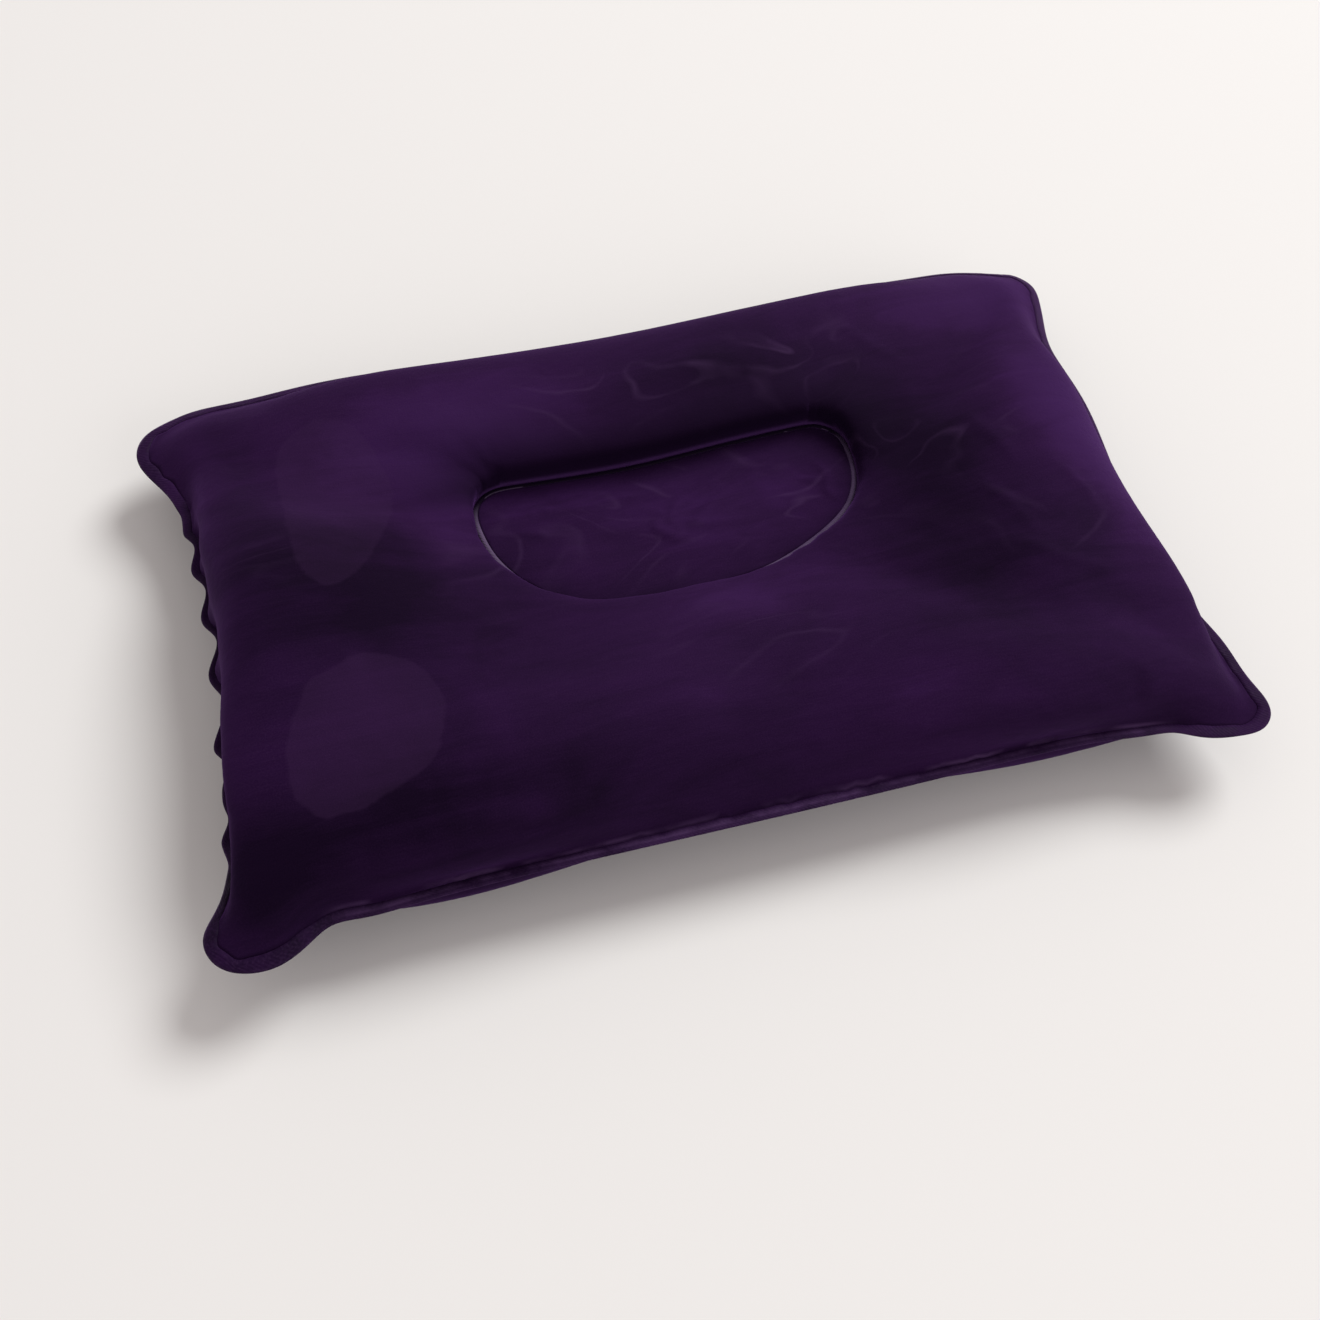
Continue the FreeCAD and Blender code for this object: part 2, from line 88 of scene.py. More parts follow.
# ------------ the flat cut of the sheets
HALF_LENGTH = 235.0
HALF_WIDTH = 146.0
CORNER_RADIUS = 16.0
RIM_WIDTH = 5.0
RIM_CORNER_RADIUS = 12.0
# How far the middle of each edge stands out.
BULGE = {"far": 24.0, "near": 10.0, "left": 1.0, "right": 5.0}
LATTICE_STEP = 5.0
LATTICE_JITTER = 0.06
LATTICE_CLEARANCE = 0.6
LATTICE_MARGIN = 20.0
SEED = 3
START_PUFF_REACH = 20.0
START_PUFF_SLOPE = 0.25

# The D-shaped middle weld.
D_CENTRE_X = 5.0
D_FAR_Y = 73.0
D_HALF_LENGTH = 90.0
D_DEPTH = 79.0
D_CORNER_RADIUS = 16.0
D_POWER = 2.35
D_WELD_HALF = 1.25

RIM, UPPER, WELD, WEB, LOWER = range(5)

SIMULATED_FRAMES = 22
CLOTH = {
    "quality": 8,
    "mass": 0.15,
    "air_damping": 1.0,
    "tension_stiffness": 80.0,
    "compression_stiffness": 80.0,
    "shear_stiffness": 60.0,
    "bending_stiffness": 10.0,
    "tension_damping": 5.0,
    "compression_damping": 5.0,
    "shear_damping": 5.0,
    "bending_damping": 0.5,
    "uniform_pressure_force": 60.0,
}


def edge_points(start, end, bulge):
    """Points from start to just before end, on a parabola that stands out by bulge."""
    start, end = np.array(start, float), np.array(end, float)
    run = end - start
    length = np.linalg.norm(run)
    outward = np.array([run[1], -run[0]]) / length
    count = max(1, int(round(length / LATTICE_STEP)))
    share = np.arange(count)[:, None] / count
    along = 2 * share - 1
    return start + run * share + outward * bulge * (1 - along * along)


def corner_points(centre, radius, first_angle):
    count = max(3, int(round(radius * math.pi / 2 / LATTICE_STEP)))
    angle = first_angle + math.pi / 2 * np.arange(count) / count
    return np.array(centre) + radius * np.stack([np.cos(angle), np.sin(angle)], 1)


def sheet_outline(inset, radius):
    """The rounded rectangle that a sheet is cut to, moved inwards by inset."""
    x, y = HALF_LENGTH - inset, HALF_WIDTH - inset
    parts = [
        corner_points((x - radius, y - radius), radius, 0),
        edge_points((x - radius, y), (-x + radius, y), BULGE["far"]),
        corner_points((-x + radius, y - radius), radius, math.pi / 2),
        edge_points((-x, y - radius), (-x, -y + radius), BULGE["left"]),
        corner_points((-x + radius, -y + radius), radius, math.pi),
        edge_points((-x + radius, -y), (x - radius, -y), BULGE["near"]),
        corner_points((x - radius, -y + radius), radius, 1.5 * math.pi),
        edge_points((x, -y + radius), (x, y - radius), BULGE["right"]),
    ]
    return np.vstack(parts)


def resampled(loop, step):
    closed = np.vstack([loop, loop[:1]])
    runs = np.linalg.norm(np.diff(closed, axis=0), axis=1)
    travel = np.concatenate([[0], np.cumsum(runs)])
    count = int(round(travel[-1] / step))
    at = np.arange(count) * travel[-1] / count
    return np.stack([np.interp(at, travel, closed[:, k]) for k in range(2)], 1)


def d_outline(grow):
    """The D-shaped weld's middle line, moved outwards by grow: straight far side, curved near side."""
    half, corner = D_HALF_LENGTH, D_CORNER_RADIUS
    level = D_FAR_Y - corner
    angle = np.linspace(0, math.pi, 401)
    c, s = np.cos(angle), np.sin(angle)
    x = -half * np.sign(c) * np.abs(c) ** (2 / D_POWER)
    y = level - (D_DEPTH - corner) * np.abs(s) ** (2 / D_POWER)
    turn = np.linspace(0, math.pi / 2, 61)[1:]
    parts = [
        np.stack([x, y], 1),
        np.stack([half - corner + corner * np.cos(turn), level + corner * np.sin(turn)], 1),
        np.stack([corner - half - corner * np.sin(turn), level + corner * np.cos(turn)], 1)[:-1],
    ]
    parts.insert(2, np.array([[corner - half, D_FAR_Y]]))
    loop = resampled(np.vstack(parts) + [D_CENTRE_X, 0], LATTICE_STEP)
    along = np.roll(loop, -1, 0) - np.roll(loop, 1, 0)
    along /= np.linalg.norm(along, axis=1)[:, None]
    outward = np.stack([along[:, 1], -along[:, 0]], 1)
    if ((loop - loop.mean(0)) * outward).sum() < 0:
        outward = -outward
    return loop + outward * grow


# Lines on the flat cut: the cut itself, the rim's weld, and both sides of the middle weld.
cut_line = sheet_outline(0, CORNER_RADIUS)
rim_line = sheet_outline(RIM_WIDTH, RIM_CORNER_RADIUS)
d_outer = d_outline(D_WELD_HALF)
d_inner = d_outline(-D_WELD_HALF)


def is_inside(loop, points):
    """True for each point inside the closed loop."""
    x, y = points[:, 0], points[:, 1]
    found = np.zeros(len(points), bool)
    for (xa, ya), (xb, yb) in zip(loop, np.roll(loop, 1, 0)):
        crosses = ((ya > y) != (yb > y)) & (x < (xb - xa) * (y - ya) / (yb - ya + 1e-30) + xa)
        found ^= crosses
    return found


def distance_to(loop, points):
    """Distance of each point to a closed polyline."""
    nearest = np.full(len(points), np.inf)
    for a, b in zip(loop, np.roll(loop, -1, 0)):
        run = b - a
        share = np.clip(((points - a) @ run) / max(run @ run, 1e-12), 0, 1)
        nearest = np.minimum(nearest, np.linalg.norm(points - a - share[:, None] * run, axis=1))
    return nearest


def bell(distance, reach, height=1.0):
    return height * np.exp(-((distance / reach) ** 2))


def eased(share):
    """From 0 to 1 with level ends."""
    return share * share * (3 - 2 * share)


def flat_skin():
    """Both sheets as one triangle mesh, shared where they are welded.

    Gives the flat places, the starting places, the triangles and each triangle's region.
    """
    random = np.random.default_rng(SEED)
    step = LATTICE_STEP
    end_x, end_y = HALF_LENGTH + LATTICE_MARGIN, HALF_WIDTH + LATTICE_MARGIN
    columns = np.arange(-end_x, end_x + step, step)
    rows = np.arange(-end_y, end_y + step, step * math.sqrt(3) / 2)
    lattice = np.array([(x + (step / 2 if k % 2 else 0), y) for k, y in enumerate(rows) for x in columns])
    lattice += random.uniform(-LATTICE_JITTER, LATTICE_JITTER, lattice.shape) * step
    kept = is_inside(rim_line, lattice)
    for line in (rim_line, d_outer, d_inner):
        kept &= distance_to(line, lattice) > LATTICE_CLEARANCE * step
    kept &= ~is_inside(d_outer, lattice) | is_inside(d_inner, lattice)
    points, edges = [], []
    for loop in (cut_line, rim_line, d_outer, d_inner):
        first = len(points)
        points += [Vector(p) for p in loop]
        edges += [(first + k, first + (k + 1) % len(loop)) for k in range(len(loop))]
    points += [Vector(p) for p in lattice[kept]]
    places, _, triangles, *_ = geometry.delaunay_2d_cdt(points, edges, [], 0, 1e-6)
    flat = np.array([tuple(v) for v in places])
    triangles = np.array([t for t in triangles if len(t) == 3])
    middle = flat[triangles].mean(1)
    inside = is_inside(cut_line, middle)
    triangles, middle = triangles[inside], middle[inside]
    a, b, c = (flat[triangles[:, k]] for k in range(3))
    turned = np.cross(b - a, c - a) < 0
    triangles[turned] = triangles[turned][:, ::-1]
    region = np.where(is_inside(d_outer, middle), WELD, UPPER)
    region[is_inside(d_inner, middle)] = WEB
    region[~is_inside(rim_line, middle)] = RIM
    free = corners_of(triangles[region == UPPER], flat)
    for kind in (RIM, WELD):
        free &= ~corners_of(triangles[region == kind], flat)
    twin = np.arange(len(flat))
    twin[free] = len(flat) + np.arange(free.sum())
    lower = twin[triangles[region == UPPER]][:, ::-1]
    clear = np.minimum(distance_to(rim_line, flat), distance_to(d_outer, flat))
    puff = np.where(free, np.minimum(clear, START_PUFF_REACH) * START_PUFF_SLOPE, 0)
    flat = np.vstack([flat, flat[free]])
    start = np.column_stack([flat, np.concatenate([puff, -puff[free]])])
    triangles = np.vstack([triangles, lower])
    region = np.concatenate([region, np.full(len(lower), LOWER)])
    return flat, start, triangles, region


def blown_up(start, triangles, region):
    """The welded sheets after the chamber fills with air, by Blender's cloth simulation."""
    mesh = bpy.data.meshes.new("skin")
    mesh.from_pydata((start * MM).tolist(), [], triangles.tolist())
    skin = added("skin", mesh)
    chamber = np.unique(triangles[(region == UPPER) | (region == LOWER)])
    group = skin.vertex_groups.new(name="chamber")
    group.add([int(k) for k in chamber], 1.0, "REPLACE")
    cloth = skin.modifiers.new("cloth", "CLOTH")
    settings = cloth.settings
    settings.bending_model = "ANGULAR"
    settings.use_pressure = True
    settings.vertex_group_pressure = "chamber"
    settings.effector_weights.gravity = 0
    for name, value in CLOTH.items():
        setattr(settings, name, value)
    cloth.collision_settings.use_collision = False
    cloth.point_cache.frame_start = 1
    cloth.point_cache.frame_end = SIMULATED_FRAMES
    scene = bpy.context.scene
    for number in range(1, SIMULATED_FRAMES + 1):
        scene.frame_set(number)
    evaluated = skin.evaluated_get(bpy.context.evaluated_depsgraph_get())
    result = evaluated.to_mesh()
    places = np.zeros(len(result.vertices) * 3, np.float32)
    result.vertices.foreach_get("co", places)
    evaluated.to_mesh_clear()
    bpy.data.objects.remove(skin)
    scene.frame_set(1)
    return places.reshape(-1, 3).astype(float) / MM


# ------------ refining the mesh
SMOOTHING_STEPS = (0.5, -0.51)


def corners_of(triangles, points):
    """True for each of the points that is a corner of the triangles."""
    found = np.zeros(len(points), bool)
    found[triangles.ravel()] = True
    return found


def sides_of(triangles):
    """Each triangle's sides, in its own direction."""
    return np.vstack([triangles[:, [0, 1]], triangles[:, [1, 2]], triangles[:, [2, 0]]])


def edges_of(triangles):
    return np.sort(sides_of(triangles), 1)


def crease_edges(triangles, region):
    """Edges where two regions meet or the sheet ends."""
    pairs = edges_of(triangles)
    kinds = np.tile(region, 3)
    order = np.lexsort((pairs[:, 1], pairs[:, 0]))
    pairs, kinds = pairs[order], kinds[order]
    fresh = np.ones(len(pairs), bool)
    fresh[1:] = (pairs[1:] != pairs[:-1]).any(1)
    group = np.cumsum(fresh) - 1
    count = np.bincount(group)
    lowest = np.full(group[-1] + 1, LOWER)
    highest = np.full(group[-1] + 1, RIM)
    np.minimum.at(lowest, group, kinds)
    np.maximum.at(highest, group, kinds)
    return pairs[fresh][(lowest != highest) | (count == 1)]


def neighbour_mean(places, links):
    """The mean place of each vertex's neighbours along the links."""
    total = np.stack([
        np.bincount(links[:, 0], places[links[:, 1], k], len(places))
        + np.bincount(links[:, 1], places[links[:, 0], k], len(places))
        for k in range(3)
    ], 1)
    return total / np.maximum(np.bincount(links.ravel(), minlength=len(places)), 1)[:, None]


def smoothed(places, triangles, region, kind, rounds, creases_too=False):
    """Taubin smoothing of one kind of region. Weld lines stay, or smooth along themselves."""
    places = places.copy()
    creases = crease_edges(triangles, region)
    on_crease = corners_of(creases, places)
    pairs = np.unique(edges_of(triangles[region == kind]), axis=0)
    pairs = pairs[~(on_crease[pairs[:, 0]] & on_crease[pairs[:, 1]])]
    passes = [(pairs, corners_of(pairs, places) & ~on_crease)]
    if creases_too:
        passes.append((creases, on_crease))
    for _ in range(rounds):
        for weight in SMOOTHING_STEPS:
            for links, movable in passes:
                step = neighbour_mean(places, links) - places
                places[movable] += weight * step[movable]
    return places


def halved(flat, places, triangles, region):
    """Every triangle becomes four."""
    pairs = edges_of(triangles)
    unique, which = np.unique(pairs, axis=0, return_inverse=True)
    which = which.reshape(3, -1).T + len(flat)
    flat = np.vstack([flat, flat[unique].mean(1)])
    places = np.vstack([places, places[unique].mean(1)])
    a, b, c = triangles.T
    ab, bc, ca = which.T
    made = [np.stack(t, 1) for t in ((a, ab, ca), (ab, b, bc), (ca, bc, c), (ab, bc, ca))]
    return flat, places, np.vstack(made), np.tile(region, 4)


def vertex_normals(places, triangles):
    a, b, c = (places[triangles[:, k]] for k in range(3))
    facing = np.cross(b - a, c - a)
    normals = np.zeros_like(places)
    for k in range(3):
        for axis in range(3):
            normals[:, axis] += np.bincount(triangles[:, k], facing[:, axis], len(places))
    return normals / np.maximum(np.linalg.norm(normals, axis=1), 1e-12)[:, None]


def softened(loop, rounds):
    """Values around a closed loop, averaged with their neighbours."""
    for _ in range(rounds):
        loop = (np.roll(loop, 1, 0) + 2 * loop + np.roll(loop, -1, 0)) / 4
    return loop


def loop_order(pairs):
    """The closed loops that the edges make, as lists of vertex numbers."""
    links = {}
    for a, b in pairs.tolist():
        links.setdefault(a, []).append(b)
        links.setdefault(b, []).append(a)
    loops, left = [], set(links)
    while left:
        loop = [min(left)]
        left.discard(loop[0])
        while True:
            ahead = [k for k in links[loop[-1]] if k in left]
            if not ahead:
                break
            loop.append(min(ahead))
            left.discard(loop[-1])
        loops.append(np.array(loop))
    return loops


# ------------ shaping after the simulation
# Soft pushes of everything near a place: centre x, y, reach x, y, then the push x, y, z.
PUSHES = [
    (-212, -14, 45, 74, -10.0, 0, 0),
    (-216, 84, 24, 30, 7.0, 0, 0),
    (-214, -98, 20, 20, -1.5, 0, 0),
    (-218, 106, 16, 14, 5.0, 0, 0),
    (222, 0, 40, 78, -4.0, 0, 0),
    (221, 92, 19, 32, -8.0, 0, 0),
    (222, -110, 14, 18, -3.5, 0, 0),
    (-12, 70, 48, 30, 0, -3.5, 0),
    (60, 4, 34, 22, -1.5, 3.0, 0),
    (-48, 2, 30, 20, -2.0, -2.5, 0),
    (-204, -136, 12, 10, 0, -4.5, 0),
    (-180, -136, 14, 14, 0, 5.0, 0),
    (-10, -126, 115, 26, 0, 7.3, 0),
    (166, -136, 20, 18, 0, -1.5, 0),
    (198, -140, 10, 9, 0, -1.5, 0),
    (-203, 138, 24, 16, 0, 6.5, 0),
    (-165, 140, 46, 26, 0, 4.5, 0),
    (-120, 142, 40, 24, 0, 2.2, 0),
    (0, 142, 230, 24, 0, 2.2, 0),
    (0, 152, 70, 30, 0, -3.0, 0),
    (150, 144, 44, 26, 0, 3.5, 0),
    (190, 142, 22, 22, 0, 3.8, 0),
]
# Outward lobes along the left edge: place on the flat cut's y, strength, and how far the edge stands out.
LOBES = [
    (-87, 1.0, 3.5), (-64, 0.15, 6.0), (-40, 1.1, 7.0), (-3, 1.0, 6.0), (28, 0.9, 3.8), (57, 0.8, 2.2),
    (83, 0.5, 2.6),
]
LOBE_REACH_X = 2.8
LOBE_REACH_Z = -1.6
LOBE_DEPTH = 7.0
LOBE_END_MARGIN = 10.0
LOBE_END_FADE = 14.0
LOBE_RIDGE = 1.2
LOBE_RIDGE_START = 3.0
LOBE_RIDGE_DEPTH = 11.0
# The band that is evened along each edge, and its fading across the band and to the corners.
EDGE_BAND = 60.0
EDGE_BAND_FADE = 0.5 * EDGE_BAND
CORNER_LEFT_OUT = 12.0
CORNER_FADE_START = 22.0
CORNER_FADE = 40.0
# The rim: its steepest tilt, rounds of softening, and its droop beyond a place on the far side.
RIM_TILT_LIMIT = 0.3
RIM_LINE_ROUNDS = 3
RIM_TILT_ROUNDS = 12
FAR_RIM_DROOP = -0.5
FAR_RIM_START = 80.0
FAR_RIM_FADE = 40.0
# The swelling over the middle weld, and where its far part starts on the flat cut's y.
RECESS_REACH = 12.0
RECESS_SWELL_FAR = 9.0
RECESS_SWELL_NEAR = 4.0
RECESS_SWELL_UP = 11.0
RECESS_END = 64.0
RECESS_END_FADE = 24.0
RECESS_FAR_START = 40.0
RECESS_FAR_FADE = 25.0


def pushed(places):
    """Everything near each place in PUSHES, moved by its push."""
    x, y = places[:, 0].copy(), places[:, 1].copy()
    for cx, cy, rx, ry, *push in PUSHES:
        weight = np.exp(-(((x - cx) / rx) ** 2) - ((y - cy) / ry) ** 2)
        places = places + weight[:, None] * np.array(push, float)
    return places


def edge_terms(along, depth):
    """Products of powers: along the edge, and of the root of the distance from the weld line."""
    root = np.sqrt(np.clip(depth, 0, None) / EDGE_BAND)
    return np.stack([along**m * root**n for m in range(5) for n in range(6)], 1)


def evened_edges(flat, places, triangles, region):
    """Takes the simulation's waves out of the four edges, and leaves each edge's long bow."""
    depth = distance_to(rim_line, flat)
    half = np.array([HALF_LENGTH - RIM_WIDTH, HALF_WIDTH - RIM_WIDTH])
    change = np.zeros_like(places)
    total = np.zeros(len(places))
    for kind in (UPPER, LOWER):
        sheet = corners_of(triangles[region == kind], flat)
        for axis in (0, 1):
            across = 1 - axis
            for side in (-1, 1):
                along = flat[:, axis] / half[axis]
                from_side = half[across] - flat[:, across] * side
                from_end = half[axis] - np.abs(flat[:, axis])
                own = sheet & (depth < EDGE_BAND) & (from_side < EDGE_BAND) & (from_end > CORNER_LEFT_OUT)
                own = np.nonzero(own)[0]
                basis = edge_terms(along[own], depth[own])
                value = basis @ np.linalg.lstsq(basis, places[own], rcond=None)[0]
                ends = np.clip((from_end[own] - CORNER_FADE_START) / CORNER_FADE, 0, 1)
                inner = np.clip((EDGE_BAND - depth[own]) / EDGE_BAND_FADE, 0, 1)
                weight = eased(ends) * eased(inner)
                change[own] += (value - places[own]) * weight[:, None]
                total[own] += 1
    return places + change / np.maximum(total, 1)[:, None]


def fuller_recess(flat, places, triangles, region):
    """The chamber swells over the middle weld, so that the recess has steep sides."""
    gap = np.linalg.norm(flat[:, None] - d_outer[None], axis=2)
    nearest, depth = gap.argmin(1), gap.min(1)
    toward = (d_outer[nearest] - flat) / np.maximum(depth, 0.1)[:, None]
    swell = (depth / RECESS_REACH) * np.exp(1 - depth / RECESS_REACH)
    swell *= np.clip((RECESS_END - depth) / RECESS_END_FADE, 0, 1)
    far = np.clip((d_outer[nearest, 1] - RECESS_FAR_START) / RECESS_FAR_FADE, 0, 1)
    places = places.copy()
    for kind, side in ((UPPER, 1), (LOWER, -1)):
        sheet = corners_of(triangles[region == kind], flat) & (depth > 0.5)
        inward = RECESS_SWELL_FAR * far + RECESS_SWELL_NEAR * (1 - far)
        places[sheet, :2] += (toward * (swell * inward)[:, None])[sheet]
        places[sheet, 2] += side * RECESS_SWELL_UP * (swell * (0.5 + 0.5 * far))[sheet]
    return places


def reshaped_rim(flat, places, triangles, region):
    """The rim runs straight out from its weld line, instead of flapping."""
    creases = crease_edges(triangles, region)
    in_rim = corners_of(triangles[region == RIM], flat)
    chamber = corners_of(triangles[region == UPPER], flat)
    on_rim_creases = creases[in_rim[creases].all(1)]
    weld_pairs = on_rim_creases[chamber[on_rim_creases].all(1)]
    loop = max(loop_order(weld_pairs), key=len)
    line, line_flat = places[loop], flat[loop]
    soft = softened(line, RIM_LINE_ROUNDS)
    along = np.roll(soft, -2, 0) - np.roll(soft, 2, 0)
    outward = np.stack([along[:, 1], -along[:, 0]], 1)
    outward /= np.linalg.norm(outward, axis=1)[:, None]
    if ((line[:, :2] - line[:, :2].mean(0)) * outward).sum() < 0:
        outward = -outward
    outer = np.nonzero(in_rim & ~chamber)[0]
    gap = np.linalg.norm(flat[outer][:, None] - line_flat[None], axis=2)
    nearest = gap.argmin(1)
    reach = gap.min(1)
    tilt = (places[outer, 2] - line[nearest, 2]) / np.maximum(reach, 1)
    tilt = np.clip(tilt, -RIM_TILT_LIMIT, RIM_TILT_LIMIT)
    number = np.bincount(nearest, minlength=len(loop))
    mean_tilt = softened(np.bincount(nearest, tilt, len(loop)) / np.maximum(number, 1), RIM_TILT_ROUNDS)
    mean_tilt += FAR_RIM_DROOP * np.clip((line_flat[:, 1] - FAR_RIM_START) / FAR_RIM_FADE, 0, 1)
    cut_offset = flat[outer] - line_flat[nearest]
    # The flat offset, turned from the flat line's direction to the blown-up line's.
    flat_along = np.roll(line_flat, -2, 0) - np.roll(line_flat, 2, 0)
    angle = np.arctan2(along[:, 1], along[:, 0]) - np.arctan2(flat_along[:, 1], flat_along[:, 0])
    c, s = np.cos(angle[nearest]), np.sin(angle[nearest])
    turned = np.stack([
        c * cut_offset[:, 0] - s * cut_offset[:, 1],
        s * cut_offset[:, 0] + c * cut_offset[:, 1],
    ], 1)
    places = places.copy()
    places[outer, :2] = line[nearest, :2] + turned
    places[outer, 2] = line[nearest, 2] + mean_tilt[nearest] * reach
    return places


def lobe_fade(y):
    """1 along the lobes, fading to 0 beyond the first and the last."""
    low, high = LOBES[0][0] - LOBE_END_MARGIN, LOBES[-1][0] + LOBE_END_MARGIN
    return np.clip((y - low) / LOBE_END_FADE, 0, 1) * np.clip((high - y) / LOBE_END_FADE, 0, 1)


def lobe_wave(y):
    """From -1 in a pucker to 1 on a lobe, fading to 0 towards the ears."""
    centres, heights, _ = zip(*LOBES)
    phase = np.interp(y, centres, 2 * math.pi * np.arange(len(centres)))
    return np.cos(phase) * np.interp(y, centres, heights) * lobe_fade(y)


def puckered(flat, places, normals):
    """Gathers along the left edge, with small waves of its rim."""
    x, y = flat[:, 0], flat[:, 1]
    from_edge = HALF_LENGTH - RIM_WIDTH + x
    depth = np.maximum(from_edge, 0)
    wave = lobe_wave(y)
    near = bell(depth, LOBE_DEPTH)
    places = places.copy()
    centres, _, stand_outs = zip(*LOBES)
    places[:, 0] -= (LOBE_REACH_X * wave + np.interp(y, centres, stand_outs) * lobe_fade(y)) * near
    places[:, 2] += LOBE_REACH_Z * wave * near
    ridge = np.exp(-depth / LOBE_RIDGE_DEPTH) * (1 - np.exp(-depth / LOBE_RIDGE_START))
    places += normals * (LOBE_RIDGE * wave * ridge * (from_edge > 0))[:, None]
    return places


EASE_ROUNDS = 14
EASE_STEP = 0.5
EASE_REACH = 6.0
EASE_AWAY_FROM_EARS = 0.3
EAR_REACH = 42.0


def eased_ears(flat, places, triangles, region):
    """At the ears the chamber runs softly into the rim, so both are averaged across the weld line."""
    pairs = np.unique(edges_of(triangles[np.isin(region, (RIM, UPPER))]), axis=0)
    from_corner = np.linalg.norm(np.abs(flat) - [HALF_LENGTH, HALF_WIDTH], axis=1)
    weight = EASE_AWAY_FROM_EARS + (1 - EASE_AWAY_FROM_EARS) * bell(from_corner, EAR_REACH)
    weight *= bell(distance_to(rim_line, flat), EASE_REACH) * np.clip(distance_to(cut_line, flat), 0, 1)
    weight *= EASE_STEP * corners_of(pairs, places)
    for _ in range(EASE_ROUNDS):
        places = places + weight[:, None] * (neighbour_mean(places, pairs) - places)
    return places


def smooth_path(points, count=60):
    """A curve through the points, as many short runs."""
    points = np.array(points, float)
    ends = np.vstack([2 * points[0] - points[1], points, 2 * points[-1] - points[-2]])
    made = []
    for k in range(len(points) - 1):
        p0, p1, p2, p3 = ends[k:k + 4]
        t = np.linspace(0, 1, max(2, count // (len(points) - 1)), endpoint=False)[:, None]
        made.append(0.5 * (2 * p1 + (p2 - p0) * t + (2 * p0 - 5 * p1 + 4 * p2 - p3) * t**2
                           + (3 * p1 - p0 - 3 * p2 + p3) * t**3))
    return np.vstack(made + [points[-1:]])


def fold_height(flat, path, width, height):
    """A fold's height at each flat place: a ridge along the path that fades at both ends."""
    line = smooth_path(path)
    total = np.zeros(len(flat))
    low, high = line.min(0) - 4 * width, line.max(0) + 4 * width
    near = np.nonzero(((flat > low) & (flat < high)).all(1))[0]
    if not len(near):
        return total
    points = flat[near]
    gap = np.linalg.norm(points[:, None] - line[None], axis=2)
    best = gap.argmin(1)
    share = best / (len(line) - 1)
    fade = np.sin(np.pi * np.clip(share, 0.02, 0.98)) ** 0.6
    total[near] = height * bell(gap.min(1), width) * fade
    return total


# Folds in the slack web, by flat place: path, width, height.
WEB_FOLDS = [
    ([(60, 62), (40, 58), (22, 50), (8, 44), (2, 36), (4, 28)], 3.2, 1.5),
    ([(70, 56), (48, 50), (30, 44), (16, 34), (8, 24)], 3.0, 1.0),
    ([(2, 36), (14, 30), (28, 27), (44, 26)], 2.6, 0.8),
    ([(-30, 60), (-10, 54), (6, 56), (20, 62)], 3.6, 0.9),
    ([(76, 52), (80, 42), (78, 32), (84, 24)], 2.2, 1.0),
    ([(66, 44), (74, 40), (80, 42)], 2.0, 0.8),
    ([(-62, 54), (-56, 57), (-50, 56)], 2.0, 0.9),
    ([(-70, 44), (-62, 43), (-54, 40)], 2.2, 0.9),
    ([(-36, 40), (-20, 34), (-4, 30), (4, 22)], 4.0, 0.7),
    ([(-10, 46), (-2, 40), (-6, 32), (2, 24), (14, 20)], 2.8, 0.9),
]
WEB_FOLD_GAIN = 1.3
WEB_FOLD_FADE = 6.0
# Creases on the upper sheet, in the same way. A height below 0 is a dent.
UPPER_FOLDS = [
    ([(111, 121), (121, 108), (130, 96), (139, 87)], 3.2, 0.8),
    ([(152, 42), (155, 32), (159, 17), (161, 2)], 3.4, 0.9),
    ([(140, 6), (143, -3), (147, -15), (150, -26), (154, -42)], 3.4, 1.0),
    ([(138, -39), (146, -42), (155, -52), (167, -58), (178, -65)], 3.4, 1.0),
    ([(178, -2), (182, -12), (185, -21), (186, -34)], 3.0, 0.8),
    ([(-160, -26), (-157, -31), (-158, -38)], 2.6, 0.7),
    ([(-130, -122), (-110, -124), (-92, -127), (-70, -128)], 3.0, -1.0),
    ([(-150, -118), (-120, -118), (-95, -121), (-60, -124)], 3.4, 1.0),
]


# The lower sheet at the valve: where the CAD panel is measured, and the sheet's blend to it.
SEAT_RADII = np.arange(14, 34, 2.0)
SEAT_ANGLES = np.radians(np.arange(0, 360, 12))
SEAT_REACH = 46.0
SEAT_FADE = 26.0
SEAT_SCALE = 30.0
BELOW_FLOOR = -100.0
HOLE_RADIUS = 8.0


def valve_centre():
    """The middle of the CAD's valve skirt."""
    low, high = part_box("valve_skirt")
    return np.array((low + high) / 2) / MM


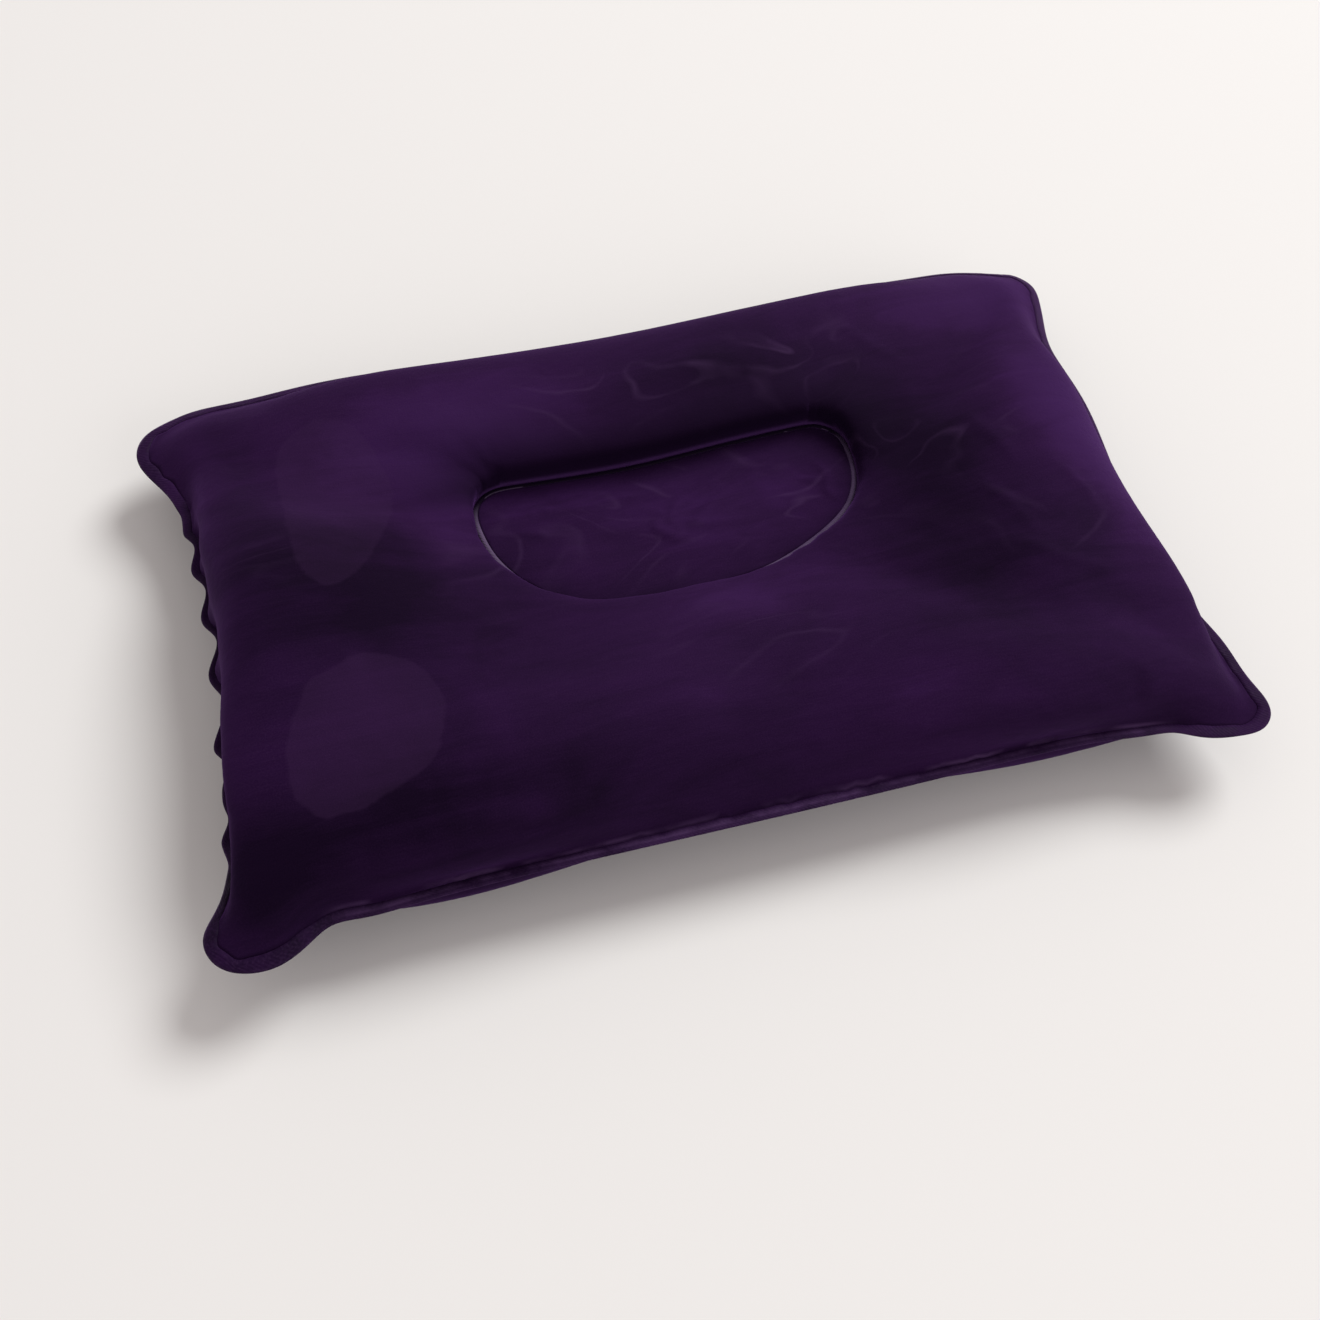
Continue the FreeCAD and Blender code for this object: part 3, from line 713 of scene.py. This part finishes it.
def seated(places, triangles, region):
    """The lower sheet meets the valve: near it, heights follow the CAD panel's outer face."""
    centre = valve_centre()[:2]
    panel = frame["nodes"]["lower_panel"].data
    tree = BVHTree.FromPolygons([v.co for v in panel.vertices], [p.vertices for p in panel.polygons])
    samples = []
    for radius in SEAT_RADII:
        for angle in SEAT_ANGLES:
            at = centre + radius * np.array([math.cos(angle), math.sin(angle)])
            hit = tree.ray_cast(Vector((*(at * MM), BELOW_FLOOR * MM)), Vector((0, 0, 1)))[0]
            if hit is not None:
                samples.append((*at, hit.z / MM))
    samples = np.array(samples)

    def terms(xy):
        u, v = (xy - centre).T / SEAT_SCALE
        return np.stack([np.ones_like(u), u, v, u * u, u * v, v * v, u**3, u * u * v, u * v * v, v**3], 1)

    fit = np.linalg.lstsq(terms(samples[:, :2]), samples[:, 2], rcond=None)[0]
    radius = np.linalg.norm(places[:, :2] - centre, axis=1)
    close = np.nonzero(corners_of(triangles[region == LOWER], places) & (radius < SEAT_REACH))[0]
    target = terms(places[close, :2]) @ fit
    share = eased(np.clip((SEAT_REACH - radius[close]) / SEAT_FADE, 0, 1))
    places = places.copy()
    places[close, 2] += share * (target - places[close, 2])
    return places


def with_hole(places, triangles, region):
    """Cuts the valve's hole in the lower sheet, on the valve's own axis."""
    axis = np.array(stem_slide["axis"], float)
    axis /= np.linalg.norm(axis)
    off = places - valve_centre()
    radial = off - np.outer(off @ axis, axis)
    radius = np.linalg.norm(radial, axis=1)
    lower = region == LOWER
    gone = lower & (radius[triangles].mean(1) < HOLE_RADIUS)
    around = corners_of(triangles[gone], places)
    triangles, region = triangles[~gone], region[~gone]
    border = np.nonzero(around & corners_of(triangles, places))[0]
    places = places.copy()
    places[border] += radial[border] * (HOLE_RADIUS / radius[border] - 1)[:, None]
    return places, triangles, region


# ------------ closed pieces
def part_of(flat, places, triangles, region, kind):
    """One region's own flat places, places, triangles and normals."""
    used, numbered = np.unique(triangles[region == kind], return_inverse=True)
    own_triangles = numbered.reshape(-1, 3)
    return flat[used], places[used], own_triangles, vertex_normals(places[used], own_triangles)


def cut_uv(flat):
    return (flat + UV_HALF_SIZE) / (2 * UV_HALF_SIZE)


def slab(name, part, above, below, side, material):
    """A closed solid between two offsets of a part's surface along its normals."""
    flat, places, triangles, normals = part
    count = len(places)
    sides = sides_of(triangles)
    _, which, times = np.unique(np.sort(sides, 1), axis=0, return_inverse=True, return_counts=True)
    rim = sides[times[which.ravel()] == 1]
    top = places + normals * np.reshape(above, (-1, 1))
    bottom = places - normals * np.reshape(below, (-1, 1))
    walls = np.stack([rim[:, 1], rim[:, 0], rim[:, 0] + count, rim[:, 1] + count], 1)
    faces = triangles.tolist() + (triangles[:, ::-1] + count).tolist() + walls.tolist()
    mesh = bpy.data.meshes.new(name)
    mesh.from_pydata((np.vstack([top, bottom]) * MM).tolist(), [], faces)
    for label, values in surface_attributes(flat, side).items():
        values = np.asarray(values, float)
        doubled = np.concatenate([values, values])
        if values.ndim == 1:
            layer = mesh.attributes.new(label, "FLOAT", "POINT")
            layer.data.foreach_set("value", doubled.astype(np.float32))
        else:
            layer = mesh.attributes.new(label, "FLOAT_VECTOR", "POINT")
            layer.data.foreach_set("vector", doubled.astype(np.float32).ravel())
    layer = mesh.uv_layers.new(name="cut")
    corners = np.zeros(len(mesh.loops), np.int32)
    mesh.loops.foreach_get("vertex_index", corners)
    layer.data.foreach_set("uv", np.tile(cut_uv(flat), (2, 1))[corners].astype(np.float32).ravel())
    mesh.shade_smooth()
    mesh.materials.append(material)
    return added(name, mesh)


# ------------ materials
class Shader:
    """Adds nodes to a material, with the inputs given by name or number."""

    def __init__(self, name):
        self.material = bpy.data.materials.new(name)
        self.material.use_nodes = True
        self.tree = self.material.node_tree
        self.surface = self.tree.nodes["Principled BSDF"]

    def node(self, kind, output=0, settings=None, **inputs):
        node = self.tree.nodes.new("ShaderNode" + kind)
        for name, value in (settings or {}).items():
            setattr(node, name, value)
        for name, value in inputs.items():
            key = int(name[1:]) if name[0] == "i" and name[1:].isdigit() else name.replace("_", " ")
            self.feed(node.inputs[key], value)
        return node.outputs[output]

    def feed(self, socket, value):
        if isinstance(value, bpy.types.NodeSocket):
            self.tree.links.new(value, socket)
        else:
            socket.default_value = value

    def set(self, **inputs):
        for name, value in inputs.items():
            self.feed(self.surface.inputs[name.replace("_", " ")], value)

    def noise(self, place, scale, detail=3.0, roughness=0.5, distortion=0.0):
        return self.node("TexNoise", Vector=place, Scale=scale, Detail=detail,
                         Roughness=roughness, Distortion=distortion)

    def math(self, operation, a, b=0.0, c=0.0):
        return self.node("Math", settings={"operation": operation}, i0=a, i1=b, i2=c)

    def between(self, value, low, high, to_low=0.0, to_high=1.0):
        return self.node("MapRange", Value=value, From_Min=low, From_Max=high,
                         To_Min=to_low, To_Max=to_high)

    def mixed(self, share, first, second):
        return self.node("Mix", output=2, settings={"data_type": "RGBA"}, i0=share, i6=first, i7=second)

    def stretched(self, place, x, y, z=1.0):
        return self.node("Mapping", Vector=place, Scale=(x, y, z))

    def attribute(self, name, output="Fac"):
        return self.node("Attribute", output=output, settings={"attribute_name": name})

    def bump(self, height, distance, strength):
        return self.node("Bump", Height=height, Distance=distance, Strength=strength)


DEEP_PURPLE = (0.0045, 0.0008, 0.0085, 1)
PURPLE = (0.0225, 0.0046, 0.0398, 1)
PALE_PURPLE = (0.0460, 0.0190, 0.0640, 1)
VIOLET = (0.0430, 0.0125, 0.0810, 1)
# Crushed nap at the welds, also the painted shade on the wall behind the middle weld.
CRUSHED_AND_SHADED = (0.0050, 0.0012, 0.0090, 1)
SHEEN_TINT = (0.39, 0.14, 0.66, 1)
STROKE_AND_HIGHLIGHT = (0.075, 0.036, 0.105, 1)


def flocked(name):
    """Short dense flock on vinyl: brushed nap, fine fibres, soft sheen, marks and worn spots, with painted
    light and shade, a painted highlight line and painted shade behind the middle weld.
    """
    s = Shader(name)
    place = s.attribute("cut_place", "Vector")
    # Broad tone: how the nap lies, with painted light and shade added from the vertex attribute.
    cloud = s.noise(place, 9, 4, 0.55, 0.6)
    smear = s.noise(s.stretched(place, 1, 5), 14, 4, 0.6, 1.2)
    thread = s.noise(s.stretched(place, 1, 9), 120, 3, 0.6)
    fibre = s.noise(place, 1500, 2, 0.7)
    clump = s.noise(place, 330, 3, 0.6)
    nap = s.math("MULTIPLY_ADD", cloud, 0.7, s.math("MULTIPLY", smear, 0.3))
    nap = s.between(nap, 0.36, 0.66, 0.15, 0.85)
    # Adds painted light and shade over broad areas.
    nap = s.math("ADD", nap, s.attribute("painted_light_and_shade"))
    base = s.mixed(s.between(nap, -0.2, 1.05), DEEP_PURPLE, PURPLE)
    base = s.mixed(s.between(nap, 0.75, 1.6, 0.0, 0.6), base, VIOLET)
    # Pale single fibres.
    fine = s.math("ADD", s.math("MULTIPLY", fibre, 0.75), s.math("MULTIPLY", thread, 0.25))
    fibres = s.math("MULTIPLY", s.between(fine, 0.42, 0.78, 0.0, 0.4), s.between(nap, -0.5, 0.8, 0.1, 1.0))
    base = s.mixed(fibres, base, PALE_PURPLE)
    # Spots brushed the other way, with ragged edges.
    ragged = s.math("MULTIPLY_ADD", s.noise(place, 70, 3, 0.6), 5.0, s.attribute("brushed"))
    brushed = s.math("MULTIPLY", s.between(ragged, 1.8, 3.4), s.between(cloud, 0.3, 0.7, 0.08, 0.2))
    base = s.mixed(brushed, base, PALE_PURPLE)
    # Thin strokes that follow the levels of a stretched noise.
    turns = s.math("MULTIPLY", s.noise(s.stretched(place, 0.7, 1.3), 12, 2, 0.4, 0.8), 10.0)
    line = s.math("ABSOLUTE", s.math("SUBTRACT", s.math("FRACT", turns), 0.5))
    line = s.between(line, 0.0, 0.15, 1.0, 0.0)
    line = s.math("MULTIPLY", line, s.between(s.noise(place, 22, 3), 0.46, 0.68))
    line = s.math("MULTIPLY", line, s.attribute("swirl"))
    base = s.mixed(s.math("MULTIPLY", line, 0.42), base, STROKE_AND_HIGHLIGHT)
    # Nap crushed at the welds, with painted shade on the recess wall behind the middle weld.
    base = s.mixed(s.attribute("crush_and_shade"), base, CRUSHED_AND_SHADED)
    # A painted highlight in a pale line beside the near rim weld, and a pale fringe at the cut.
    highlight_and_fringe = s.math("MULTIPLY", s.attribute("highlight_and_fringe"), s.between(s.noise(place, 40, 3), 0.42, 0.6))
    base = s.mixed(highlight_and_fringe, base, STROKE_AND_HIGHLIGHT)
    rough = s.between(s.math("ADD", fibre, cloud), 0.7, 1.3, 0.72, 0.95)
    height = s.math("ADD", s.math("MULTIPLY", fibre, 0.35), s.math("MULTIPLY", clump, 0.65))
    height = s.math("ADD", height, s.math("MULTIPLY", line, 0.6))
    s.set(Base_Color=base, Roughness=rough, Normal=s.bump(height, 0.00035, 0.8),
          Specular_IOR_Level=0.04, Sheen_Weight=0.2, Sheen_Roughness=0.42, Sheen_Tint=SHEEN_TINT)
    return s.material


def welded(name, dark, light, pitch):
    """Flock crushed flat and shiny by a heated bar, with the bar's fine ribs."""
    s = Shader(name)
    place = s.attribute("cut_place", "Vector")
    ribs = s.node("TexWave", output=1, settings={"wave_type": "BANDS", "bands_direction": "DIAGONAL"},
                  Vector=place, Scale=pitch, Distortion=0.6)
    worn = s.noise(place, 60, 4, 0.6)
    fibre = s.noise(place, 900, 2, 0.7)
    # Painted light and shade over broad areas, mixed into the worn tone.
    base = s.mixed(s.between(s.math("ADD", worn, s.attribute("painted_light_and_shade")), 0.1, 0.75), dark, light)
    base = s.mixed(s.between(fibre, 0.45, 0.8, 0, 0.35), base, PALE_PURPLE)
    # Painted highlight in a pale line beside the near rim weld, and a pale fringe at the cut.
    highlight_and_fringe = s.math("MULTIPLY", s.attribute("highlight_and_fringe"), s.between(worn, 0.4, 0.6, 0.1, 0.9))
    base = s.mixed(highlight_and_fringe, base, STROKE_AND_HIGHLIGHT)
    # Painted shade on the middle weld's far side, under the recess wall.
    base = s.mixed(s.attribute("shade"), base, DEEP_PURPLE)
    height = s.math("ADD", s.math("MULTIPLY", ribs, 0.5), s.math("MULTIPLY", fibre, 0.5))
    s.set(Base_Color=base, Roughness=s.between(worn, 0.3, 0.7, 0.5, 0.72),
          Normal=s.bump(height, 0.00025, 0.7), Specular_IOR_Level=0.06,
          Sheen_Weight=0.18, Sheen_Roughness=0.42, Sheen_Tint=SHEEN_TINT)
    return s.material


def moulded(name, dark, light, roughness):
    """Soft moulded vinyl: satin, faintly mottled, with fine flow marks."""
    s = Shader(name)
    place = s.node("TexCoord", output=3)
    mottle = s.noise(place, 160, 4, 0.55)
    flow = s.noise(s.stretched(place, 1, 1, 6), 500, 3, 0.6, 0.8)
    base = s.mixed(s.between(mottle, 0.3, 0.7), dark, light)
    s.set(Base_Color=base, Roughness=s.between(flow, 0.3, 0.7, roughness - 0.06, roughness + 0.1),
          Normal=s.bump(s.math("ADD", flow, mottle), 0.0001, 0.5), Subsurface_Weight=0.08,
          Subsurface_Scale=0.002, Coat_Weight=0.05, Coat_Roughness=0.4, Specular_IOR_Level=0.3)
    return s.material


def floor_material():
    s = Shader("studio_floor")
    place = s.node("TexCoord", output=3)
    base = s.mixed(s.noise(place, 1.5, 2), (0.80, 0.79, 0.78, 1), (0.82, 0.81, 0.80, 1))
    s.set(Base_Color=base, Roughness=0.9, Specular_IOR_Level=0.1)
    return s.material


# ------------ making the pillow
SIMULATED_ROUNDS = 80
HALVED_ROUNDS = 6
FINE_ROUNDS = 4
FLOOR_CLEARANCE = 0.05

flat, start, triangles, region = flat_skin()
places = blown_up(start, triangles, region)
for kind in (UPPER, LOWER, WEB):
    places = smoothed(places, triangles, region, kind, SIMULATED_ROUNDS)
places = evened_edges(flat, places, triangles, region)
places = fuller_recess(flat, places, triangles, region)
places = pushed(places)
places = reshaped_rim(flat, places, triangles, region)
rim_low, rim_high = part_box("rim_weld")
seam_height = (rim_low.z + rim_high.z) / 2 / MM
cad_middle = np.array((cad_low + cad_high) / 2) / MM
own_middle = (places.min(0) + places.max(0)) / 2
places[:, :2] += (cad_middle - own_middle)[:2]
places[:, 2] += seam_height

flat, places, triangles, region = halved(flat, places, triangles, region)
for kind in (UPPER, LOWER, WEB):
    places = smoothed(places, triangles, region, kind, HALVED_ROUNDS, creases_too=True)
places = eased_ears(flat, places, triangles, region)
places = seated(places, triangles, region)
on_upper = corners_of(triangles[region == UPPER], places)
upper_normals, lower_normals = (vertex_normals(places, triangles[region == kind]) for kind in (UPPER, LOWER))
places = puckered(flat, places, np.where(on_upper[:, None], upper_normals, lower_normals))
for path, width, height in UPPER_FOLDS:
    places[on_upper] += upper_normals[on_upper] * fold_height(flat, path, width, height)[on_upper, None]
places[:, 2] = np.maximum(places[:, 2], FLOOR_CLEARANCE)

# The rim, the middle weld and the web get smaller triangles than the sheets.
fine_flat, fine_places, fine_triangles, fine_region = halved(flat, places, triangles, region)
for kind in (RIM, WELD, WEB):
    fine_places = smoothed(fine_places, fine_triangles, fine_region, kind, FINE_ROUNDS, creases_too=True)
web = corners_of(fine_triangles[fine_region == WEB], fine_places)
from_weld = distance_to(d_inner, fine_flat[web])
lift = np.zeros(web.sum())
for path, width, height in WEB_FOLDS:
    lift += WEB_FOLD_GAIN * fold_height(fine_flat[web], path, width, height)
fine_places[web, 2] += lift * (1 - np.exp(-from_weld / WEB_FOLD_FADE))

places, triangles, region = with_hole(places, triangles, region)

# Outlines of the two spots where the nap is brushed the other way, by flat place.
BRUSHED_SPOTS = [
    [(-168, 105), (-158, 116), (-145, 119), (-133, 115), (-125, 104), (-122, 85), (-125, 61), (-137, 30),
     (-149, 13), (-160, 8), (-168, 20), (-171, 46), (-170, 84)],
    [(-165, -36), (-155, -31), (-147, -31), (-135, -37), (-126, -46), (-122, -62), (-128, -84), (-140, -93),
     (-152, -98), (-164, -101), (-177, -99), (-186, -85), (-185, -68), (-179, -52), (-173, -40)],
]
NO_SPOT = -30.0

# Areas with faint strokes in the nap: place on the flat cut, reach, strength.
STROKED_AREAS = [
    (170, 0, 30, 60, 1.0), (30, 108, 70, 16, 1.3), (20, -60, 40, 24, 0.5), (25, 38, 75, 34, 1.3),
    (125, 108, 24, 24, 0.6), (-90, 60, 22, 60, 0.4), (-190, 60, 20, 60, 0.3),
]
STROKE_LIMIT = 1.4

# Broad areas of painted light (above 0) and painted shade (below 0): place, reach, strength.
LIGHT_AND_SHADE_AREAS = [
    (-155, 4, 66, 44, -0.75), (-150, -106, 56, 32, -0.8), (-60, -112, 44, 24, -0.25),
    (124, 24, 38, 56, -0.85), (112, -44, 80, 44, -0.45), (-92, 98, 70, 36, 1.0),
    (-104, 42, 18, 42, 0.6), (25, -36, 66, 24, 0.6), (206, 32, 32, 84, 0.9),
    (160, 124, 64, 24, 0.8), (-208, 20, 14, 90, 0.45), (40, 112, 56, 20, -0.5),
    (-205, -110, 26, 28, -0.8), (10, 36, 80, 30, 0.5), (-192, 92, 20, 40, -0.4),
    (-20, -82, 50, 22, 0.4), (90, -108, 70, 22, 0.25),
]

# Marks along the welds, as reach and strength: nap crushed beside them, painted shade on the recess wall
# behind the middle weld, and a painted highlight in a pale line beside the near rim weld.
CRUSH_AT_RIM = (2.0, 0.45)
CRUSH_AT_D = (3.0, 0.6)
PAINTED_SHADE_BEHIND_D = (27.0, 0.9)
SHADE_BEHIND_D = 24.0
BEHIND_D_START = 50.0
BEHIND_D_FADE = 16.0
HIGHLIGHT_AT_RIM = (1.2, 0.8)
HIGHLIGHT_FROM_RIM = 2.2
HIGHLIGHT_START_Y = 50.0
HIGHLIGHT_END_X = 190.0
HIGHLIGHT_END_FADE = 20.0
WORN_AT_CUT = (0.6, 0.25)
# Keeps the two sides' patterns apart.
PATTERN_SHIFT = 0.3
UV_HALF_SIZE = HALF_LENGTH + 30


def spot_distance(flat):
    """Millimetres inside the nearest brushed spot, negative outside."""
    best = np.full(len(flat), NO_SPOT)
    for spot in BRUSHED_SPOTS:
        loop = smooth_path(spot + spot[:1], 90)
        gap = distance_to(loop, flat)
        best = np.maximum(best, np.where(is_inside(loop, flat), gap, -gap))
    return best


def patches(flat, areas):
    """The sum of soft elliptical patches at each flat place."""
    total = np.zeros(len(flat))
    for x, y, reach_x, reach_y, strength in areas:
        total += strength * np.exp(-(((flat[:, 0] - x) / reach_x) ** 2) - ((flat[:, 1] - y) / reach_y) ** 2)
    return total


def surface_attributes(flat, side):
    """What the shaders read at each vertex. side is 1 above and -1 below, without spots and painted light and
    shade.
    """
    x, y = flat.T
    from_d, from_rim = distance_to(d_outer, flat), distance_to(rim_line, flat)
    behind = np.clip((y - BEHIND_D_START) / BEHIND_D_FADE, 0, 1) * ~is_inside(d_inner, flat)
    crush_and_shade = np.zeros(len(flat))
    for distance, (reach, strength) in ((from_rim, CRUSH_AT_RIM), (from_d, CRUSH_AT_D)):
        crush_and_shade += strength * np.exp(-distance / reach)
    # Painted shade on the recess wall behind the middle weld.
    crush_and_shade = np.maximum(crush_and_shade, behind * bell(from_d, *PAINTED_SHADE_BEHIND_D))
    # Painted highlight: a pale line beside the near rim weld.
    worn = bell(from_rim - HIGHLIGHT_FROM_RIM, *HIGHLIGHT_AT_RIM)
    worn *= np.clip(-y / HIGHLIGHT_START_Y - 1, 0, 1) * np.clip((HIGHLIGHT_END_X - np.abs(x)) / HIGHLIGHT_END_FADE, 0, 1)
    return {
        "cut_place": np.column_stack([flat * MM, np.full(len(flat), side * PATTERN_SHIFT)]),
        "brushed": spot_distance(flat) if side > 0 else np.full(len(flat), NO_SPOT),
        "crush_and_shade": np.clip(crush_and_shade, 0, 1),
        "swirl": np.minimum(patches(flat, STROKED_AREAS), STROKE_LIMIT),
        "painted_light_and_shade": patches(flat, LIGHT_AND_SHADE_AREAS) if side > 0 else np.zeros(len(flat)),
        "shade": behind * bell(from_d, SHADE_BEHIND_D),
        "highlight_and_fringe": np.maximum(worn, bell(distance_to(cut_line, flat), *WORN_AT_CUT)),
    }


flock = flocked("flocked_vinyl")
web_flock = flocked("flocked_web")
rim_finish = welded("welded_rim", DEEP_PURPLE, PURPLE, 350)
seam_finish = welded("middle_weld", (0.045, 0.026, 0.066, 1), (0.105, 0.072, 0.135, 1), 420)

SHEET_THICKNESS = 0.6
SHEET_EDGE_THICKNESS = 0.15
SHEET_THICKENING = 0.12
RIM_TUCK = 0.8
RIM_HALF_THICKNESS = 0.6
# How the rim gets thinner at its weld and its cut: over what distance, and by how much.
THINNER_AT_WELD = (1.6, 0.15)
THINNER_AT_CUT = (0.7, 0.35)
ON_THE_WELD = 0.3
SEAM_EDGE_HALF_THICKNESS = 0.35
SEAM_CROWN = 0.55
SEAM_ROUNDING = 1.2
WEB_THICKNESS = 0.45
WEB_GAP = 0.02

coarse = (flat, places, triangles, region)
fine = (fine_flat, fine_places, fine_triangles, fine_region)
pieces = {}
for name, kind, side in (("upper_sheet", UPPER, 1), ("lower_sheet", LOWER, -1)):
    part = part_of(*coarse, kind)
    edge = np.minimum(distance_to(rim_line, part[0]), distance_to(d_outer, part[0]))
    thickness = np.clip(SHEET_EDGE_THICKNESS + edge * SHEET_THICKENING, SHEET_EDGE_THICKNESS, SHEET_THICKNESS)
    pieces[name] = slab(name, part, 0.0, thickness, side, flock)

# The rim's inner boundary is tucked under the sheets, so that no gap shows between them.
part = part_of(*fine, RIM)
rim_flat, rim_places = part[:2]
from_weld, from_cut = distance_to(rim_line, rim_flat), distance_to(cut_line, rim_flat)
inner, outer = np.nonzero(from_weld < ON_THE_WELD)[0], np.nonzero(from_weld > RIM_WIDTH / 2)[0]
gaps = np.linalg.norm(rim_flat[inner][:, None] - rim_flat[outer][None], axis=2)
inwards = rim_places[inner] - rim_places[outer[gaps.argmin(1)]]
rim_places[inner] += RIM_TUCK * inwards / np.linalg.norm(inwards, axis=1)[:, None]
half = RIM_HALF_THICKNESS - bell(from_weld, *THINNER_AT_WELD) - bell(from_cut, *THINNER_AT_CUT)
pieces["rim"] = slab("rim", part, half, half, 1, rim_finish)

part = part_of(*fine, WELD)
from_side = np.minimum(distance_to(d_outer, part[0]), distance_to(d_inner, part[0]))
half = SEAM_EDGE_HALF_THICKNESS + SEAM_CROWN * np.clip(from_side / SEAM_ROUNDING, 0, 1)
pieces["middle_seam"] = slab("middle_seam", part, half, half, 1, seam_finish)

web_flat, web_places, web_triangles, web_normals = part_of(*fine, WEB)
for name, side in (("upper_web_sheet", 1), ("lower_web_sheet", -1)):
    part = (web_flat, web_places, web_triangles[:, ::side], side * web_normals)
    pieces[name] = slab(name, part, WEB_THICKNESS, -WEB_GAP, side, web_flock)

STANDS_FOR = {
    "upper_sheet": ("upper_panel", "flocked_vinyl"),
    "lower_sheet": ("lower_panel", "flocked_vinyl"),
    "rim": ("rim_weld", "welded_rim"),
    "middle_seam": ("centre_weld", "middle_weld"),
    "upper_web_sheet": ("upper_web", "flocked_web"),
    "lower_web_sheet": ("lower_web", "flocked_web"),
}
for name, (node, slot) in STANDS_FOR.items():
    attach(pieces[name], "pillow")
    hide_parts(node)

valve_finish = moulded("valve_vinyl", (0.028, 0.013, 0.050, 1), (0.042, 0.021, 0.070, 1), 0.42)
stopper_finish = moulded("stopper_vinyl", (0.020, 0.010, 0.036, 1), (0.032, 0.016, 0.054, 1), 0.38)

# The folding skirt: the CAD part as one mesh, with its doubled vertices merged.
MERGE_DISTANCE = 0.002
skirt_shape = bmesh.new()
skirt_shape.from_mesh(frame["nodes"]["valve_skirt"].data)
skirt_shape.transform(frame["nodes"]["valve_skirt"].matrix_world)
bmesh.ops.remove_doubles(skirt_shape, verts=skirt_shape.verts, dist=MERGE_DISTANCE * MM)
skirt_mesh = bpy.data.meshes.new("skirt")
skirt_shape.to_mesh(skirt_mesh)
skirt_shape.free()
skirt_mesh.materials.clear()
skirt_mesh.materials.append(valve_finish)
skirt = added("skirt", skirt_mesh)
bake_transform(skirt)
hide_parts("valve_skirt")

for node, finish, slot in (
    ("valve_flange", valve_finish, "valve_vinyl"),
    ("valve_stem", valve_finish, "valve_vinyl"),
    ("check_flap", valve_finish, "valve_vinyl"),
    ("stopper", stopper_finish, "stopper_vinyl"),
    ("stopper_strap", stopper_finish, "stopper_vinyl"),
):
    shown = frame["nodes"][node]
    shown.data.materials.clear()
    shown.data.materials.append(finish)

# ------------ studio
FLOOR_REACH = 6.0
FLOOR_DROP = 0.0002
SURROUND_COLOUR = (1.0, 0.93, 0.915, 1)
SURROUND_STRENGTH = 0.52

floor_mesh = bpy.data.meshes.new("floor")
floor_corners = [(x * FLOOR_REACH, y * FLOOR_REACH, 0) for x, y in ((-1, -1), (1, -1), (1, 1), (-1, 1))]
floor_mesh.from_pydata(floor_corners, [], [(0, 1, 2, 3)])
floor_mesh.materials.append(floor_material())
floor = added("floor", floor_mesh)
floor.location.z = cad_low.z - FLOOR_DROP

world = bpy.data.worlds.new("studio")
bpy.context.scene.world = world
world.use_nodes = True
surround = world.node_tree.nodes["Background"].inputs
surround["Color"].default_value = SURROUND_COLOUR
surround["Strength"].default_value = SURROUND_STRENGTH


def area_light(name, place, size, watts, colour):
    """A round light that points at the middle of the scene."""
    data = bpy.data.lights.new(name, "AREA")
    data.shape = "DISK"
    data.size = size
    data.energy = watts
    data.color = colour
    light = added(name, data)
    light.location = place
    light.rotation_mode = "QUATERNION"
    light.rotation_quaternion = (-Vector(place)).to_track_quat("-Z", "Y")


area_light("key", (3.6, 2.0, 4.6), 3.2, 278, (0.99, 1.0, 0.985))
area_light("fill", (1.4, -3.0, 1.8), 2.4, 22, (1.0, 0.98, 0.99))

# The camera's place in millimetres, its angles in degrees, and its lens and sensor in millimetres.
CAMERA_PLACE = (-146.7, -400.9, 608.6)
CAMERA_ELEVATION = 57.01
CAMERA_AZIMUTH = 19.35
CAMERA_ROLL = 4.05
CAMERA_LENS = 43.08
CAMERA_SENSOR = 36

camera_data = bpy.data.cameras.new("camera")
camera_data.sensor_width = CAMERA_SENSOR
camera_data.lens = CAMERA_LENS
camera = added("camera", camera_data)
bpy.context.scene.camera = camera
camera.location = Vector(CAMERA_PLACE) * MM
turn = Matrix.Rotation(-math.radians(CAMERA_AZIMUTH), 4, "Z")
tip = Matrix.Rotation(math.radians(90 - CAMERA_ELEVATION), 4, "X")
roll = Matrix.Rotation(math.radians(CAMERA_ROLL), 4, "Z")
camera.rotation_mode = "QUATERNION"
camera.rotation_quaternion = (turn @ tip @ roll).to_quaternion()
camera_data.clip_start, camera_data.clip_end = 0.01, 50

bpy.context.scene.view_settings.view_transform = "Standard"
